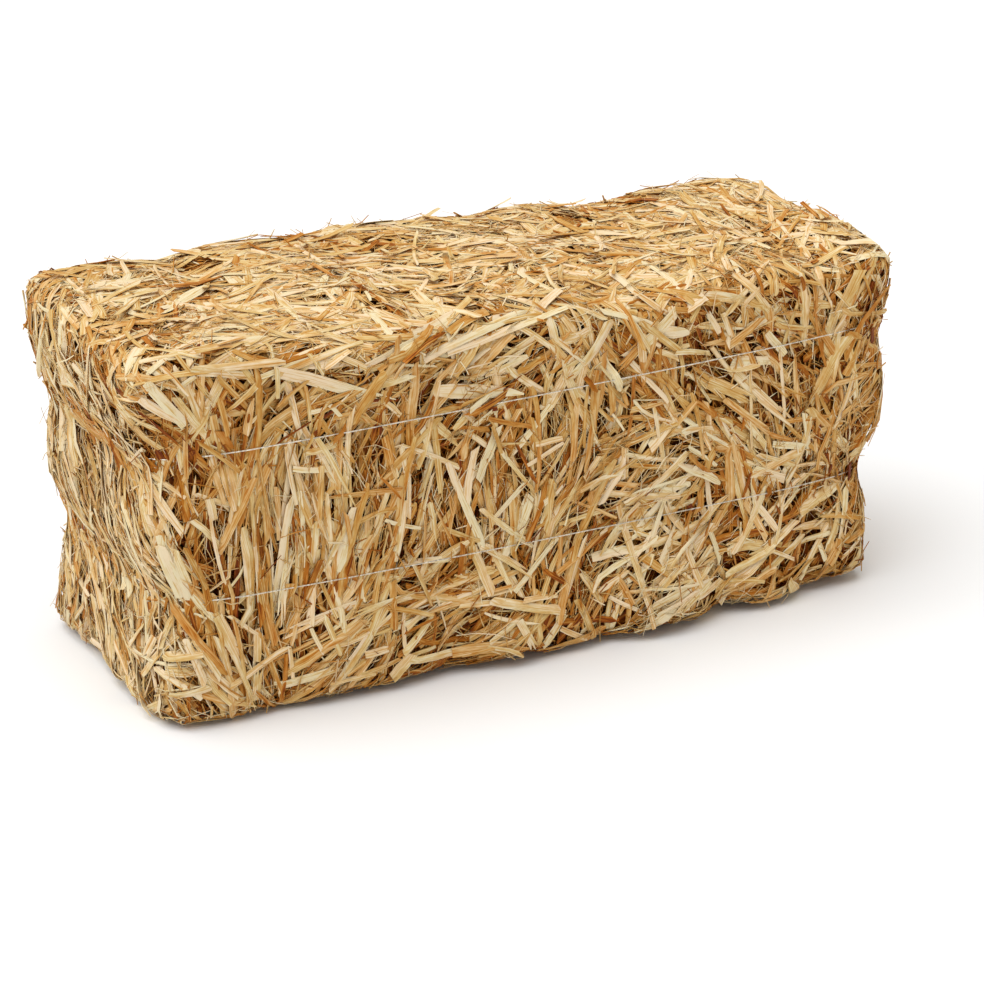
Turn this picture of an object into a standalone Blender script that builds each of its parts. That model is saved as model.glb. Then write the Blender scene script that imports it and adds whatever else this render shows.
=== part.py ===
"""Decorative straw bale: six pressed flakes of straw, bound lengthwise by two wires.

X runs along the bale, Y from its front to its back and Z up from the floor. The
origin is in the middle of the underside.
"""

import math

import bmesh
import bpy
from mathutils import Vector, noise

# Driving dimensions, in metres
DEPTH = 0.187  # front to back at the ends
HEIGHT = 0.214  # floor to the front top edge
GAP = 0.0004  # daylight between neighbouring flakes

# Each flake, from the left end to the right: its thickness along the bale, how far
# its front and back swell, how much further its front foot does, and how far its top
# rises
FLAKES = (
    (0.077, 0.001, 0.000, 0.002),
    (0.102, 0.002, 0.002, 0.002),
    (0.106, 0.002, 0.006, 0.002),
    (0.082, 0.002, 0.010, -0.001),
    (0.070, 0.002, 0.008, 0.001),
    (0.057, 0.001, 0.001, 0.001),
)
LENGTH = sum(flake[0] for flake in FLAKES)

# How far each division between two flakes leans, in metres along X for a metre up
LEANS = (0.05, -0.04, 0.03, -0.05, 0.04)

# How far from each end the straw feels that end's pinch and bulge
END_REACH = 0.060

# Rounding of the block's edges
END_RADIUS = 0.020
TOP_RADIUS = 0.014
BOTTOM_RADIUS = (0.005, 0.016)  # at mid-length and to the left, and at the right end

# The whole bale swells at mid-length and its top climbs towards the back
BOW = 0.005
BACK_RISE = 0.011
CROWN = 0.003

# How far each tier stands out at the left end and at the right: foot, middle, top
TIERS = ((-0.005, -0.001, 0.008), (-0.005, -0.001, 0.006))
TIER_BLEND = 0.030

# Grooves between flakes, and the hand-sized lumps all over
SEAM_DEPTH = 0.0018
SEAM_WIDTH = 0.009
LUMP = 0.0028
LUMP_SIZE = 0.055
LUMP_SEEDS = {"front": 86.19, "back": 6.2, "left": 9.1, "right": 1.4, "top": 115.05}

# The two wires: height at mid-length, and climb along X for a metre of bale
WIRES = {
    "lower": (0.076, 0.0),
    "upper": (0.165, 0.024),
}
WIRE_RADIUS = 0.0004
WIRE_REST = 0.0011  # from the bottom of its groove to the wire's middle
PINCH_WIDTH = 0.012
CLIMB_REACH = 0.045  # above and below the upper wire
PINCH_CORNER = 0.009
PINCH_FACE = 0.003
PINCH_END = 0.006
FILLED = 0.5  # share of the upper groove that loose straw fills at the right end

# The in-line twist that closes each wire, on the back face
TWIST_AT = {"lower": 0.062, "upper": -0.038}
TWIST_LENGTH = 0.014
TWIST_TURNS = 3
TWIST_RADIUS = 0.0006
TWIST_STEPS = 8  # points in one turn
TWIST_REST = 0.0024  # from the groove's bottom to the middle of the twist
TWIST_CLEAR = 0.010  # the wire's way round starts this far from its twist

# Where the plain blocks are cut, so that the shaping has vertices to move
LEVELS = (
    0.008, 0.026, 0.050, 0.067, 0.076, 0.085, 0.101,
    0.121, 0.141, 0.156, 0.165, 0.174, 0.189, 0.205,
)
ACROSS = (-0.088, -0.073, -0.045, -0.015, 0.015, 0.045, 0.073, 0.088)
SLICE = 0.021  # longest step between cuts along a flake
END_SLICES = (0.009, 0.024)  # extra cuts, this far in from the bale's ends

STRAW = (0.74, 0.52, 0.25)
STRAW_SHADE = 0.05  # every second flake is this much darker, so that they can be told apart
WIRE_GREY = (0.55, 0.54, 0.52)


def smooth(value):
    """0 below 0, 1 above 1, and an easy curve between."""
    value = min(1.0, max(0.0, value))
    return value * value * (3 - 2 * value)


def division_places():
    """X of the left end, of each division between flakes, and of the right end."""
    places = [-LENGTH / 2]
    for thickness, *_ in FLAKES:
        places.append(places[-1] + thickness)
    return places


PLACES = division_places()


def between(x, values):
    """Values that belong to PLACES, read at x along straight lines."""
    for left, right, first, last in zip(PLACES, PLACES[1:], values, values[1:]):
        if x <= right:
            return first + (last - first) * (x - left) / (right - left)
    return values[-1]


def round_edges(x, y, z):
    """Maps the plain block onto one with rounded edges, inner points included."""
    vertical = z - HEIGHT / 2
    radius = TOP_RADIUS
    if vertical < 0:
        middle, end = BOTTOM_RADIUS
        radius = middle + (end - middle) * smooth(2 * x / LENGTH)
    over = (
        max(0.0, abs(x) - (LENGTH / 2 - END_RADIUS)) / END_RADIUS,
        max(0.0, abs(y) - (DEPTH / 2 - END_RADIUS)) / END_RADIUS,
        max(0.0, abs(vertical) - (HEIGHT / 2 - radius)) / radius,
    )
    reach = math.hypot(*over)
    if reach == 0:
        return x, y, z
    give = 1 - max(over) / reach
    x -= math.copysign(over[0] * END_RADIUS * give, x)
    y -= math.copysign(over[1] * END_RADIUS * give, y)
    vertical -= math.copysign(over[2] * radius * give, vertical)
    return x, y, HEIGHT / 2 + vertical


def pinch(z):
    """How hard the wires pull the straw in at a height of the plain block, 0 to 1."""
    pulls = [1 / (1 + ((z - height) / PINCH_WIDTH) ** 2) for height, _ in WIRES.values()]
    return max(pulls)


def lump(first, second, side):
    """Smooth noise of hand-sized lumps over one side of the bale, about -1 to 1."""
    place = Vector((first / LUMP_SIZE, second / LUMP_SIZE, LUMP_SEEDS[side]))
    return 2 * noise.noise(place)


def swell(x, which):
    """A flake's own swelling at x: most at its middle, none at its divisions."""
    for index, flake in enumerate(FLAKES):
        left, right = PLACES[index], PLACES[index + 1]
        if left <= x <= right:
            return flake[which] * math.sin(math.pi * (x - left) / (right - left))
    return 0.0


def seam(x):
    """Depth of the grooves where one flake meets the next."""
    nearest = min(abs(x - place) for place in PLACES[1:-1])
    return SEAM_DEPTH * math.exp(-((nearest / SEAM_WIDTH) ** 2))


def shaped(x, y, z):
    """Where a point of the plain block sits in the real, lumpy bale."""
    pull = pinch(z)
    block_x, block_z = x, z
    x, y, z = round_edges(x, y, z)
    along = abs(x) / (LENGTH / 2)
    side = y / (DEPTH / 2)
    near_end = smooth((abs(block_x) - LENGTH / 2) / END_REACH + 1)
    lower, upper = WIRES["lower"][0], WIRES["upper"][0]
    top_tier = smooth((block_z - upper) / (HEIGHT - upper))
    if block_x > 0:
        near_upper = smooth((block_z - (lower + upper) / 2) / TIER_BLEND + 0.5)
        pull *= 1 - FILLED * near_end * near_upper

    # Front and back: bow and swelling outwards, seams and wires inwards
    out = BOW * (1 - along**2) + swell(block_x, 1) - seam(block_x)
    if y < 0:
        out += swell(block_x, 2) * smooth(1 - block_z / lower)
    out += LUMP * lump(block_x, block_z, "front" if y < 0 else "back") * (1 - pull)
    out -= pull * (PINCH_FACE + (PINCH_CORNER - PINCH_FACE) * near_end)
    y += side * out

    # The ends, drawn in by the wires, with the top tier standing out on the left
    out = LUMP * lump(y, block_z, "left" if block_x < 0 else "right") * (1 - pull)
    out -= pull * (PINCH_END + (PINCH_CORNER - PINCH_END) * side**2)
    foot, belly, brow = TIERS[0 if block_x < 0 else 1]
    out += foot + (belly - foot) * smooth((block_z - lower) / TIER_BLEND)
    out += (brow - belly) * smooth((block_z - upper) / TIER_BLEND + 0.5)
    x += near_end * out * (1 if x > 0 else -1)

    # The top: climbs to the back, crowned, each flake with a rise of its own
    rise = BACK_RISE * (side + 1) / 2 + CROWN * (1 - side**2) + swell(block_x, 3)
    rise += LUMP * lump(block_x, y, "top") - seam(block_x)
    z += top_tier * rise

    # The upper wire climbs along the bale, and so does the straw beside it
    z += WIRES["upper"][1] * block_x * smooth(1 - abs(block_z - upper) / CLIMB_REACH)

    leans = (0.0, *LEANS, 0.0)
    x += between(block_x, leans) * (z - HEIGHT / 2)
    return Vector((x, y, z))


def cuts_along(left, right):
    """X of the cuts across one flake."""
    count = math.ceil((right - left) / SLICE)
    cuts = [left + (right - left) * step / count for step in range(1, count)]
    for distance in END_SLICES:
        for place in (PLACES[0] + distance, PLACES[-1] - distance):
            if left < place < right:
                cuts.append(place)
    return cuts


def material(name, colour, roughness, metallic):
    """A plain material: the colour, roughness and metallic value of one sub-part."""
    made = bpy.data.materials.new(name)
    made.use_nodes = True
    shader = made.node_tree.nodes["Principled BSDF"]
    shader.inputs["Base Color"].default_value = (*colour, 1)
    shader.inputs["Roughness"].default_value = roughness
    shader.inputs["Metallic"].default_value = metallic
    made.diffuse_color = (*colour, 1)
    return made


def add_flake(index):
    """One flake: a block cut by planes, its vertices then moved to the bale's shape."""
    left, right = PLACES[index], PLACES[index + 1]
    if index > 0:
        left += GAP / 2
    if index < len(FLAKES) - 1:
        right -= GAP / 2
    mesh = bmesh.new()
    bmesh.ops.create_cube(mesh, size=1)
    for vertex in mesh.verts:
        vertex.co.x = left if vertex.co.x < 0 else right
        vertex.co.y *= DEPTH
        vertex.co.z = 0 if vertex.co.z < 0 else HEIGHT
    planes = [((x, 0, 0), (1, 0, 0)) for x in cuts_along(left, right)]
    planes += [((0, y, 0), (0, 1, 0)) for y in ACROSS]
    planes += [((0, 0, z), (0, 0, 1)) for z in LEVELS]
    for place, normal in planes:
        everything = mesh.verts[:] + mesh.edges[:] + mesh.faces[:]
        bmesh.ops.bisect_plane(mesh, geom=everything, plane_co=place, plane_no=normal)
    for vertex in mesh.verts:
        vertex.co = shaped(*vertex.co)
    bmesh.ops.triangulate(mesh, faces=mesh.faces[:])
    data = bpy.data.meshes.new(f"flake_{index + 1}")
    mesh.to_mesh(data)
    mesh.free()
    shade = 1 - STRAW_SHADE * (index % 2)
    colour = [channel * shade for channel in STRAW]
    data.materials.append(material(f"straw_{index + 1}", colour, 0.8, 0.0))
    flake = bpy.data.objects.new(f"flake_{index + 1}", data)
    bpy.context.collection.objects.link(flake)


def groove_outline(height):
    """The plan of the bale along the bottom of a wire's groove."""
    stops = [PLACES[0], PLACES[-1]]
    for left, right in zip(PLACES, PLACES[1:]):
        stops += [right, *cuts_along(left, right)]
    points = [shaped(x, y, height) for x in stops for y in (-DEPTH / 2, DEPTH / 2)]
    points += [shaped(x, y, height) for x in (PLACES[0], PLACES[-1]) for y in ACROSS]
    return [(point.x, point.y) for point in points]


def taut_round(points):
    """The convex outline round some points, counter-clockwise."""
    halves = []
    for ordered in (sorted(points), sorted(points, reverse=True)):
        half = []
        for x, y in ordered:
            while len(half) > 1:
                (ax, ay), (bx, by) = half[-2:]
                if (bx - ax) * (y - ay) - (by - ay) * (x - ax) > 1e-9:
                    break
                half.pop()
            half.append((x, y))
        halves += half[:-1]
    return halves


def offset(outline, distance):
    """The outline moved outwards, keeping every side parallel to where it was."""
    moved = []
    for index, corner in enumerate(outline):
        here = Vector(corner)
        before = (here - Vector(outline[index - 1])).normalized()
        after = (Vector(outline[(index + 1) % len(outline)]) - here).normalized()
        middle = Vector((before.y + after.y, -before.x - after.x)).normalized()
        moved.append(here + middle * distance / middle.dot(Vector((before.y, -before.x))))
    return moved


def wire_route(name):
    """The wire's middle line: one strand of its twist, round the bale, the other strand."""
    height, climb = WIRES[name]
    outline = offset(taut_round(groove_outline(height)), WIRE_REST)
    middle = TWIST_AT[name]
    left, right = middle - TWIST_LENGTH / 2, middle + TWIST_LENGTH / 2
    back = [point for point in outline if point.y > 0]
    before = max((p for p in back if p.x < left - TWIST_CLEAR), key=lambda p: p.x)
    after = min((p for p in back if p.x > right + TWIST_CLEAR), key=lambda p: p.x)
    slope = (after.y - before.y) / (after.x - before.x)

    def strand(phase, steps):
        points = []
        for step in steps:
            share = step / (TWIST_TURNS * TWIST_STEPS)
            turn = phase + 2 * math.pi * TWIST_TURNS * share
            x = left + TWIST_LENGTH * share
            y = before.y + slope * (x - before.x) + TWIST_REST - WIRE_REST
            points.append(
                Vector((
                    x,
                    y + TWIST_RADIUS * math.cos(turn),
                    height + climb * x + TWIST_RADIUS * math.sin(turn),
                ))
            )
        return points

    steps = range(TWIST_TURNS * TWIST_STEPS + 1)
    first = outline.index(before)
    last = outline.index(after)
    count = (last - first) % len(outline)
    way = [outline[(first + step) % len(outline)] for step in range(count + 1)]
    route = strand(0, reversed(steps))
    route += [Vector((point.x, point.y, height + climb * point.x)) for point in way]
    route += reversed(strand(math.pi, steps))
    return route


def add_wire(name):
    """One binding wire: a capped tube along its route."""
    curve = bpy.data.curves.new(f"binding_wire_{name}", "CURVE")
    curve.dimensions = "3D"
    curve.bevel_depth = WIRE_RADIUS
    curve.bevel_resolution = 1
    curve.use_fill_caps = True
    route = wire_route(name)
    spline = curve.splines.new("POLY")
    spline.points.add(len(route) - 1)
    for point, place in zip(spline.points, route):
        point.co = (*place, 1)
    curve.materials.append(material(f"wire_{name}", WIRE_GREY, 0.35, 1.0))
    wire = bpy.data.objects.new(f"binding_wire_{name}", curve)
    bpy.context.collection.objects.link(wire)


def centre_on_origin():
    """Slides the whole bale so that the middle of its underside is the origin."""
    bpy.context.view_layer.update()
    corners = [Vector(corner) for item in bpy.data.objects for corner in item.bound_box]
    middle = [
        (min(corner[axis] for corner in corners) + max(corner[axis] for corner in corners)) / 2
        for axis in (0, 1)
    ]
    for item in bpy.data.objects:
        item.location = (-middle[0], -middle[1], 0)


for old in list(bpy.data.objects):
    bpy.data.objects.remove(old)
for number in range(len(FLAKES)):
    add_flake(number)
for wire_name in WIRES:
    add_wire(wire_name)
centre_on_origin()
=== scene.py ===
from itertools import product
from math import ceil, cos, radians, sin, tau

import bmesh
import bpy
import numpy as np
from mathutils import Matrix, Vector, noise
from mathutils.bvhtree import BVHTree


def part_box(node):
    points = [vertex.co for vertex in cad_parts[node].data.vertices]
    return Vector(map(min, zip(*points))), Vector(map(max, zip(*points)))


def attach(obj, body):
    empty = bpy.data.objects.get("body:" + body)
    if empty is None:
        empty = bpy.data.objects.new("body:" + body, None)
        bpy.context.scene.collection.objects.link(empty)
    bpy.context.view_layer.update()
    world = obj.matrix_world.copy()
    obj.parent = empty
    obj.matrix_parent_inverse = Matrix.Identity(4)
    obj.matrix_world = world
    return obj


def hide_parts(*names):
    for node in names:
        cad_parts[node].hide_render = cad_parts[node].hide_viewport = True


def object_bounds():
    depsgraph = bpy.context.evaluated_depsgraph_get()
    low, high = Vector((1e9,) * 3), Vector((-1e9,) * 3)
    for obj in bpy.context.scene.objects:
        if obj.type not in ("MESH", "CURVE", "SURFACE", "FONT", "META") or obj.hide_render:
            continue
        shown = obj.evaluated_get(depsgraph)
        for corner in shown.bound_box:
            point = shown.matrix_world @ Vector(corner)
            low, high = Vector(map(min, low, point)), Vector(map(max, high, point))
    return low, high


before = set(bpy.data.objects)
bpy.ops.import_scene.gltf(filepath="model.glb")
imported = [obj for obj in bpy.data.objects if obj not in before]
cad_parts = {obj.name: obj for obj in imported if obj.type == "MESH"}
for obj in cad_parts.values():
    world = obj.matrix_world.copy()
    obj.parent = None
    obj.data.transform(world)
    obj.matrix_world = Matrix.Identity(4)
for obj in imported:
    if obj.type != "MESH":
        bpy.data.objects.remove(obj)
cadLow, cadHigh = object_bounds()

mm = 0.001
squareDm = 0.01
rng = np.random.default_rng(20)
flakes = sorted(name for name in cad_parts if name.startswith("flake_"))
wires = sorted(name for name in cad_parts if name.startswith("binding_wire_"))
bakeMap = "OFBake"  # the map that colours are drawn and baked through


# camera, light and floor
studio = {
    "azimuth": -28.5,  # degrees round from the front
    "elevation": 20.5,
    "distance": 1.5963,
    "lens": 95.1,
    "lookAt": (0.0116, 0.0, 0.0712),
    "floorColour": "#F1F4F8",
    "floorRoughness": 0.9,
    "floorSize": 40.0,
    "skyColour": "#FFF7EB",
    "skyStrength": 0.52,
    "lampFrom": (-0.36, -0.06, 0.93),  # the direction that the soft key light comes from
    "lampAngle": 68,  # degrees of sky that it fills
    "lampPower": 2.65,
}


def hexColour(code):
    channels = [int(code[start:start + 2], 16) / 255 for start in (1, 3, 5)]
    linear = [c / 12.92 if c <= 0.04045 else ((c + 0.055) / 1.055) ** 2.4 for c in channels]
    return (*linear, 1)


def setInputs(node, inputs):
    # inputs are plain values, or the outputs of other nodes
    for name, value in inputs.items():
        if isinstance(value, bpy.types.NodeSocket):
            node.id_data.links.new(value, node.inputs[name])
        else:
            node.inputs[name].default_value = value


def addNode(tree, kind, settings=None, inputs=None):
    node = tree.nodes.new(kind)
    for name, value in (settings or {}).items():
        setattr(node, name, value)
    setInputs(node, inputs or {})
    return node


def addMath(tree, operation, *values, kind="ShaderNodeMath"):
    return addNode(tree, kind, {"operation": operation}, dict(enumerate(values))).outputs[0]


def addRange(tree, value, fromRange=(0.0, 1.0), toRange=(0.0, 1.0)):
    ends = zip(("From Min", "From Max", "To Min", "To Max"), (*fromRange, *toRange))
    return addNode(tree, "ShaderNodeMapRange", inputs={"Value": value, **dict(ends)}).outputs["Result"]


def newMaterial(name):
    material = bpy.data.materials.new(name)
    material.use_nodes = True
    return material, material.node_tree, material.node_tree.nodes["Principled BSDF"]


def aimed(name, data, direction, track):
    # a camera or a lamp, turned to look along a direction
    made = bpy.data.objects.new(name, data)
    made.rotation_mode = "QUATERNION"
    made.rotation_quaternion = direction.to_track_quat(track, "Y")
    bpy.context.scene.collection.objects.link(made)
    return made


def setUpStudio():
    scene = bpy.context.scene
    scene.view_settings.view_transform = "Standard"
    around, up = radians(studio["azimuth"]), radians(studio["elevation"])
    back = Vector((sin(around) * cos(up), -cos(around) * cos(up), sin(up)))
    lens = bpy.data.cameras.new("camera")
    lens.lens = studio["lens"]
    scene.camera = aimed("camera", lens, -back, "-Z")
    scene.camera.location = Vector(studio["lookAt"]) + back * studio["distance"]

    lamp = bpy.data.lights.new("softKey", "SUN")
    lamp.angle = radians(studio["lampAngle"])
    lamp.energy = studio["lampPower"]
    aimed("softKey", lamp, Vector(studio["lampFrom"]), "Z")

    world = bpy.data.worlds.new("studio")
    world.use_nodes = True
    sky = world.node_tree.nodes["Background"]
    setInputs(sky, {"Color": hexColour(studio["skyColour"]), "Strength": studio["skyStrength"]})
    scene.world = world

    bpy.ops.object.select_all(action="DESELECT")
    bpy.ops.mesh.primitive_plane_add(size=studio["floorSize"])
    floor = bpy.context.object
    floor.name = "floor"
    paper, _, shader = newMaterial("mattPaper")
    setInputs(shader, {"Base Color": hexColour(studio["floorColour"]), "Roughness": studio["floorRoughness"]})
    floor.data.materials.append(paper)


# Dry chopped wheat straw: the stems were split and pressed, so each strip has fibres along it,
# which show as fine streaks, and a waxy skin, which gives it a soft satin gloss.
# The map is a pattern book of rows, one for each tone of straw, pale at the foot and brown at the top.
strawFinish = {
    "rows": 24,
    "bedShadeRows": 9,  # the last, brownest ones, which the imported straw in the gaps takes: painted shade of the depths
    "rowHeight": 8.0,  # millimetres of straw across one row
    "rowLength": 110.0,  # millimetres of straw along one row
    "tones": (
        (0.00, "#EADDC0"),
        (0.22, "#DBBF89"),
        (0.45, "#C99A54"),
        (0.66, "#B57323"),
        (0.84, "#935008"),
        (1.00, "#6A2A02"),
    ),
    "greener": "#FBFBF0",  # along and across the stems the hue wanders from greenish to rosy
    "rosier": "#FFF5EE",
    "hueSize": (45.0, 9.0),
    "hueEdge": (0.35, 0.65),  # noise levels between which it turns from one to the other
    "streakWidth": 0.75,  # one fibre bundle
    "streakLength": 30.0,
    "stainSize": (10.0, 3.0),
    "crackWidth": 0.5,  # dark splits between the fibres
    "crackLength": 45.0,
    "crackEdge": (0.60, 0.70),
    "grain": 0.6,  # how rough the noise of every pattern is
    "streakTone": 0.62,  # how far each pattern moves the tone along the list above
    "stainTone": 0.35,
    "crackTone": 0.22,
    "rowTone": 0.08,
    "roughness": (0.42, 0.68),
    "waxiness": 0.15,
    "relief": 0.2,  # height of the fibres
}

# Galvanised steel wire: drawn thin and dipped in zinc, so it is a dull light grey with darker flecks.
wireFinish = {
    # both greys are tinted warm: a painted reflection of the straw around the wire
    "light": "#FFFAEE",
    "dark": "#CFC8BA",
    "fleckSize": 1.5,
    "fleckEdge": (0.38, 0.60),
    "roughness": (0.32, 0.50),
}


def strawMaterial():
    look = strawFinish
    material, tree, shader = newMaterial("dryWheatStraw")
    place = addNode(tree, "ShaderNodeUVMap", {"uv_map": bakeMap}).outputs["UV"]
    apart = addNode(tree, "ShaderNodeSeparateXYZ", inputs={"Vector": place})
    row = addMath(tree, "FLOOR", addMath(tree, "MULTIPLY", apart.outputs["Y"], look["rows"]))
    own = addNode(tree, "ShaderNodeTexWhiteNoise", {"noise_dimensions": "1D"}, {"W": row}).outputs["Value"]

    def pattern(along, across, detail):
        # noise stretched along the straw, of a size in millimetres
        size = (look["rowLength"] / along, look["rows"] * look["rowHeight"] / across, 0)
        scaled = addMath(tree, "MULTIPLY", place, size, kind="ShaderNodeVectorMath")
        lift = addNode(tree, "ShaderNodeCombineXYZ", inputs={"Z": row}).outputs[0]
        moved = addMath(tree, "ADD", scaled, lift, kind="ShaderNodeVectorMath")
        return addNode(
            tree, "ShaderNodeTexNoise", {"noise_dimensions": "3D"},
            {"Vector": moved, "Scale": 1.0, "Detail": detail, "Roughness": look["grain"]},
        ).outputs["Fac"]

    streak = pattern(look["streakLength"], look["streakWidth"], 2.0)
    stain = pattern(*look["stainSize"], 2.0)
    crack = addRange(tree, pattern(look["crackLength"], look["crackWidth"], 1.0), look["crackEdge"])
    tone = addMath(tree, "DIVIDE", row, look["rows"] - 1)
    shifts = (
        (streak, look["streakTone"] * 2, 0.5),
        (stain, look["stainTone"] * 2, 0.5),
        (own, look["rowTone"] * 2, 0.5),
        (crack, look["crackTone"], 0.0),
    )
    for source, reach, centre in shifts:
        tone = addMath(tree, "MULTIPLY_ADD", addMath(tree, "SUBTRACT", source, centre), reach, tone)
    ramp = addNode(tree, "ShaderNodeValToRGB", inputs={"Fac": tone})
    stops = ramp.color_ramp.elements
    for position, colour in look["tones"][1:-1]:
        stops.new(position)
    for stop, (position, colour) in zip(stops, look["tones"]):
        stop.position = position
        stop.color = hexColour(colour)
    hue = addRange(tree, pattern(*look["hueSize"], 0.0), look["hueEdge"])
    tint = addNode(
        tree, "ShaderNodeMix", {"data_type": "RGBA"},
        {0: hue, 6: hexColour(look["greener"]), 7: hexColour(look["rosier"])},
    )
    tinted = addNode(
        tree, "ShaderNodeMix", {"data_type": "RGBA", "blend_type": "MULTIPLY"},
        {0: 1.0, 6: ramp.outputs["Color"], 7: tint.outputs[2]},
    )
    bump = addNode(
        tree, "ShaderNodeBump", inputs={"Height": streak, "Distance": look["relief"] * mm, "Strength": 1.0},
    )
    setInputs(shader, {
        "Base Color": tinted.outputs[2], "Specular IOR Level": look["waxiness"],
        "Roughness": addRange(tree, streak, toRange=look["roughness"]), "Normal": bump.outputs["Normal"],
    })
    return material


def wireMaterial():
    look = wireFinish
    material, tree, shader = newMaterial("galvanisedSteelWire")
    place = addNode(tree, "ShaderNodeTexCoord").outputs["Object"]
    fleck = addNode(
        tree, "ShaderNodeTexNoise",
        inputs={"Vector": place, "Scale": 1 / (look["fleckSize"] * mm), "Detail": 3.0},
    ).outputs["Fac"]
    ramp = addNode(tree, "ShaderNodeValToRGB", inputs={"Fac": fleck})
    for stop, position, colour in zip(ramp.color_ramp.elements, look["fleckEdge"], ("dark", "light")):
        stop.position = position
        stop.color = hexColour(look[colour])
    setInputs(shader, {
        "Base Color": ramp.outputs["Color"], "Metallic": 1.0,
        "Roughness": addRange(tree, fleck, toRange=look["roughness"]),
    })
    return material


# single straws, each modelled once along X, 1 long, 1 wide and 1 thick
def pick(place):
    # selects the vertices whose place passes a test
    mesh = bmesh.from_edit_mesh(bpy.context.object.data)
    for item in [*mesh.faces, *mesh.edges, *mesh.verts]:
        item.select = False
    for vertex in mesh.verts:
        vertex.select = place(vertex.co)
    mesh.select_flush(True)
    bmesh.update_edit_mesh(bpy.context.object.data)


def cutAt(*cuts):
    # cuts the blank across, at each place along X
    for x in cuts:
        bpy.ops.mesh.select_all(action="SELECT")
        bpy.ops.mesh.bisect(plane_co=(x, 0, 0), plane_no=(1, 0, 0))


def openForEditing():
    bpy.ops.object.transform_apply()
    bpy.ops.object.mode_set(mode="EDIT")
    bpy.ops.mesh.select_mode(type="VERT")


def bar(*cuts, end=1.0):
    # a square bar from 0 to its end, cut across at some places
    bpy.ops.object.select_all(action="DESELECT")
    bpy.ops.mesh.primitive_cube_add(size=1, location=(0.5, 0, 0))
    openForEditing()
    pick(lambda at: at.x > 0.9)
    bpy.ops.transform.translate(value=(end - 1, 0, 0))
    cutAt(*cuts)


def rod(sides, *cuts):
    bpy.ops.object.select_all(action="DESELECT")
    bpy.ops.mesh.primitive_cylinder_add(
        vertices=sides, radius=0.5, depth=1, location=(0.5, 0, 0), rotation=(0, tau / 4, 0)
    )
    openForEditing()
    cutAt(*cuts)


def splitAt(*places):
    # cuts the bar lengthwise, at each place across it
    for y in places:
        bpy.ops.mesh.select_all(action="SELECT")
        bpy.ops.mesh.bisect(plane_co=(0, y, 0), plane_no=(0, 1, 0))


def ridged(crown, hollow):
    # turns the bar's section into a roof: thin edges, a crown, and a hollow beneath it
    splitAt(0)
    pick(lambda at: abs(at.y) > 0.1)
    bpy.ops.transform.resize(value=(1, 1, 0), center_override=(0, 0, 0))
    bpy.ops.mesh.select_all(action="SELECT")
    bpy.ops.mesh.remove_doubles(threshold=0.001)
    pick(lambda at: at.z > 0.1)
    bpy.ops.transform.translate(value=(0, 0, crown - 0.5))
    pick(lambda at: at.z < -0.1)
    bpy.ops.transform.translate(value=(0, 0, hollow + 0.5))


def narrow(x, share, shift=0.0):
    # sets how wide the straw is at one cut, and how far that cut is off the middle line
    pick(lambda at: abs(at.x - x) < 0.01)
    bpy.ops.transform.resize(value=(1, share, 1), center_override=(x, 0, 0))
    if shift:
        bpy.ops.transform.translate(value=(0, shift, 0))


def slant(x, reach):
    # cuts an end at a slant
    pick(lambda at: abs(at.x - x) < 0.01 and at.y > 0.1)
    bpy.ops.transform.translate(value=(reach, 0, 0))


def prong(root, low, high, reach, drift, tip):
    # draws a splinter out of the end at the root, between two places across it
    pick(lambda at: abs(at.x - root) < 0.01 and low - 0.01 < at.y < high + 0.01)
    bpy.ops.mesh.extrude_region_move(TRANSFORM_OT_translate={"value": (reach, drift, 0)})
    bpy.ops.transform.resize(value=(1, tip, 0.6), center_override=(0, (low + high) / 2 + drift, 0))


def squareCut():
    bar(0.22, 0.5, 0.78)
    narrow(0, 0.9, 0.04)
    narrow(0.22, 1.0, -0.04)
    narrow(1, 0.8, -0.05)
    slant(1, -0.03)


def slantCut():
    bar(0.2, 0.4, 0.6, 0.8)
    narrow(0.4, 1.0, 0.06)
    narrow(0.8, 0.85)
    slant(1, -0.12)
    slant(0, 0.08)


def pointed():
    bar(0.2, 0.45, 0.7, 0.87)
    narrow(0, 0.7, 0.08)
    narrow(0.7, 0.8, -0.05)
    narrow(0.87, 0.5, -0.12)
    narrow(1, 0.12, -0.2)
    slant(0, 0.07)


def splinter():
    # a long taper, torn off beside a stem
    bar(0.3, 0.6, 0.85)
    narrow(0, 0.75, -0.1)
    narrow(0.6, 0.7, 0.12)
    narrow(0.85, 0.35, 0.2)
    narrow(1, 0.08, 0.26)


def crowned():
    bar(0.2, 0.4, 0.6, 0.8)
    ridged(0.6, 0.12)
    narrow(0, 0.85, 0.05)
    narrow(0.6, 1.0, -0.05)
    slant(1, -0.09)
    slant(0, 0.05)


def gutter():
    bar(0.25, 0.5, 0.75)
    ridged(0.75, 0.45)
    narrow(0.5, 0.92, 0.05)
    slant(0, 0.08)
    slant(1, -0.07)


def blade():
    bar(0.14, 0.34, 0.56, 0.76, 0.9)
    ridged(0.45, 0.05)
    narrow(0, 0.45, 0.06)
    narrow(0.14, 0.8)
    narrow(0.76, 0.75, -0.04)
    narrow(0.9, 0.45, -0.1)
    narrow(1, 0.08, -0.16)


def sheath():
    # the broad papery leaf that wraps a stem, wavy and torn
    bar(0.1, 0.28, 0.46, 0.64, 0.82)
    ridged(0.5, 0.2)
    narrow(0, 0.35, 0.12)
    narrow(0.1, 0.75, 0.05)
    narrow(0.46, 1.0, -0.06)
    narrow(0.82, 0.8, 0.05)
    narrow(1, 0.5, -0.1)
    for x, rise in ((0.28, 0.5), (0.64, -0.4), (1, 0.7)):
        pick(lambda at: abs(at.x - x) < 0.01)
        bpy.ops.transform.translate(value=(0, 0, rise))


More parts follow.
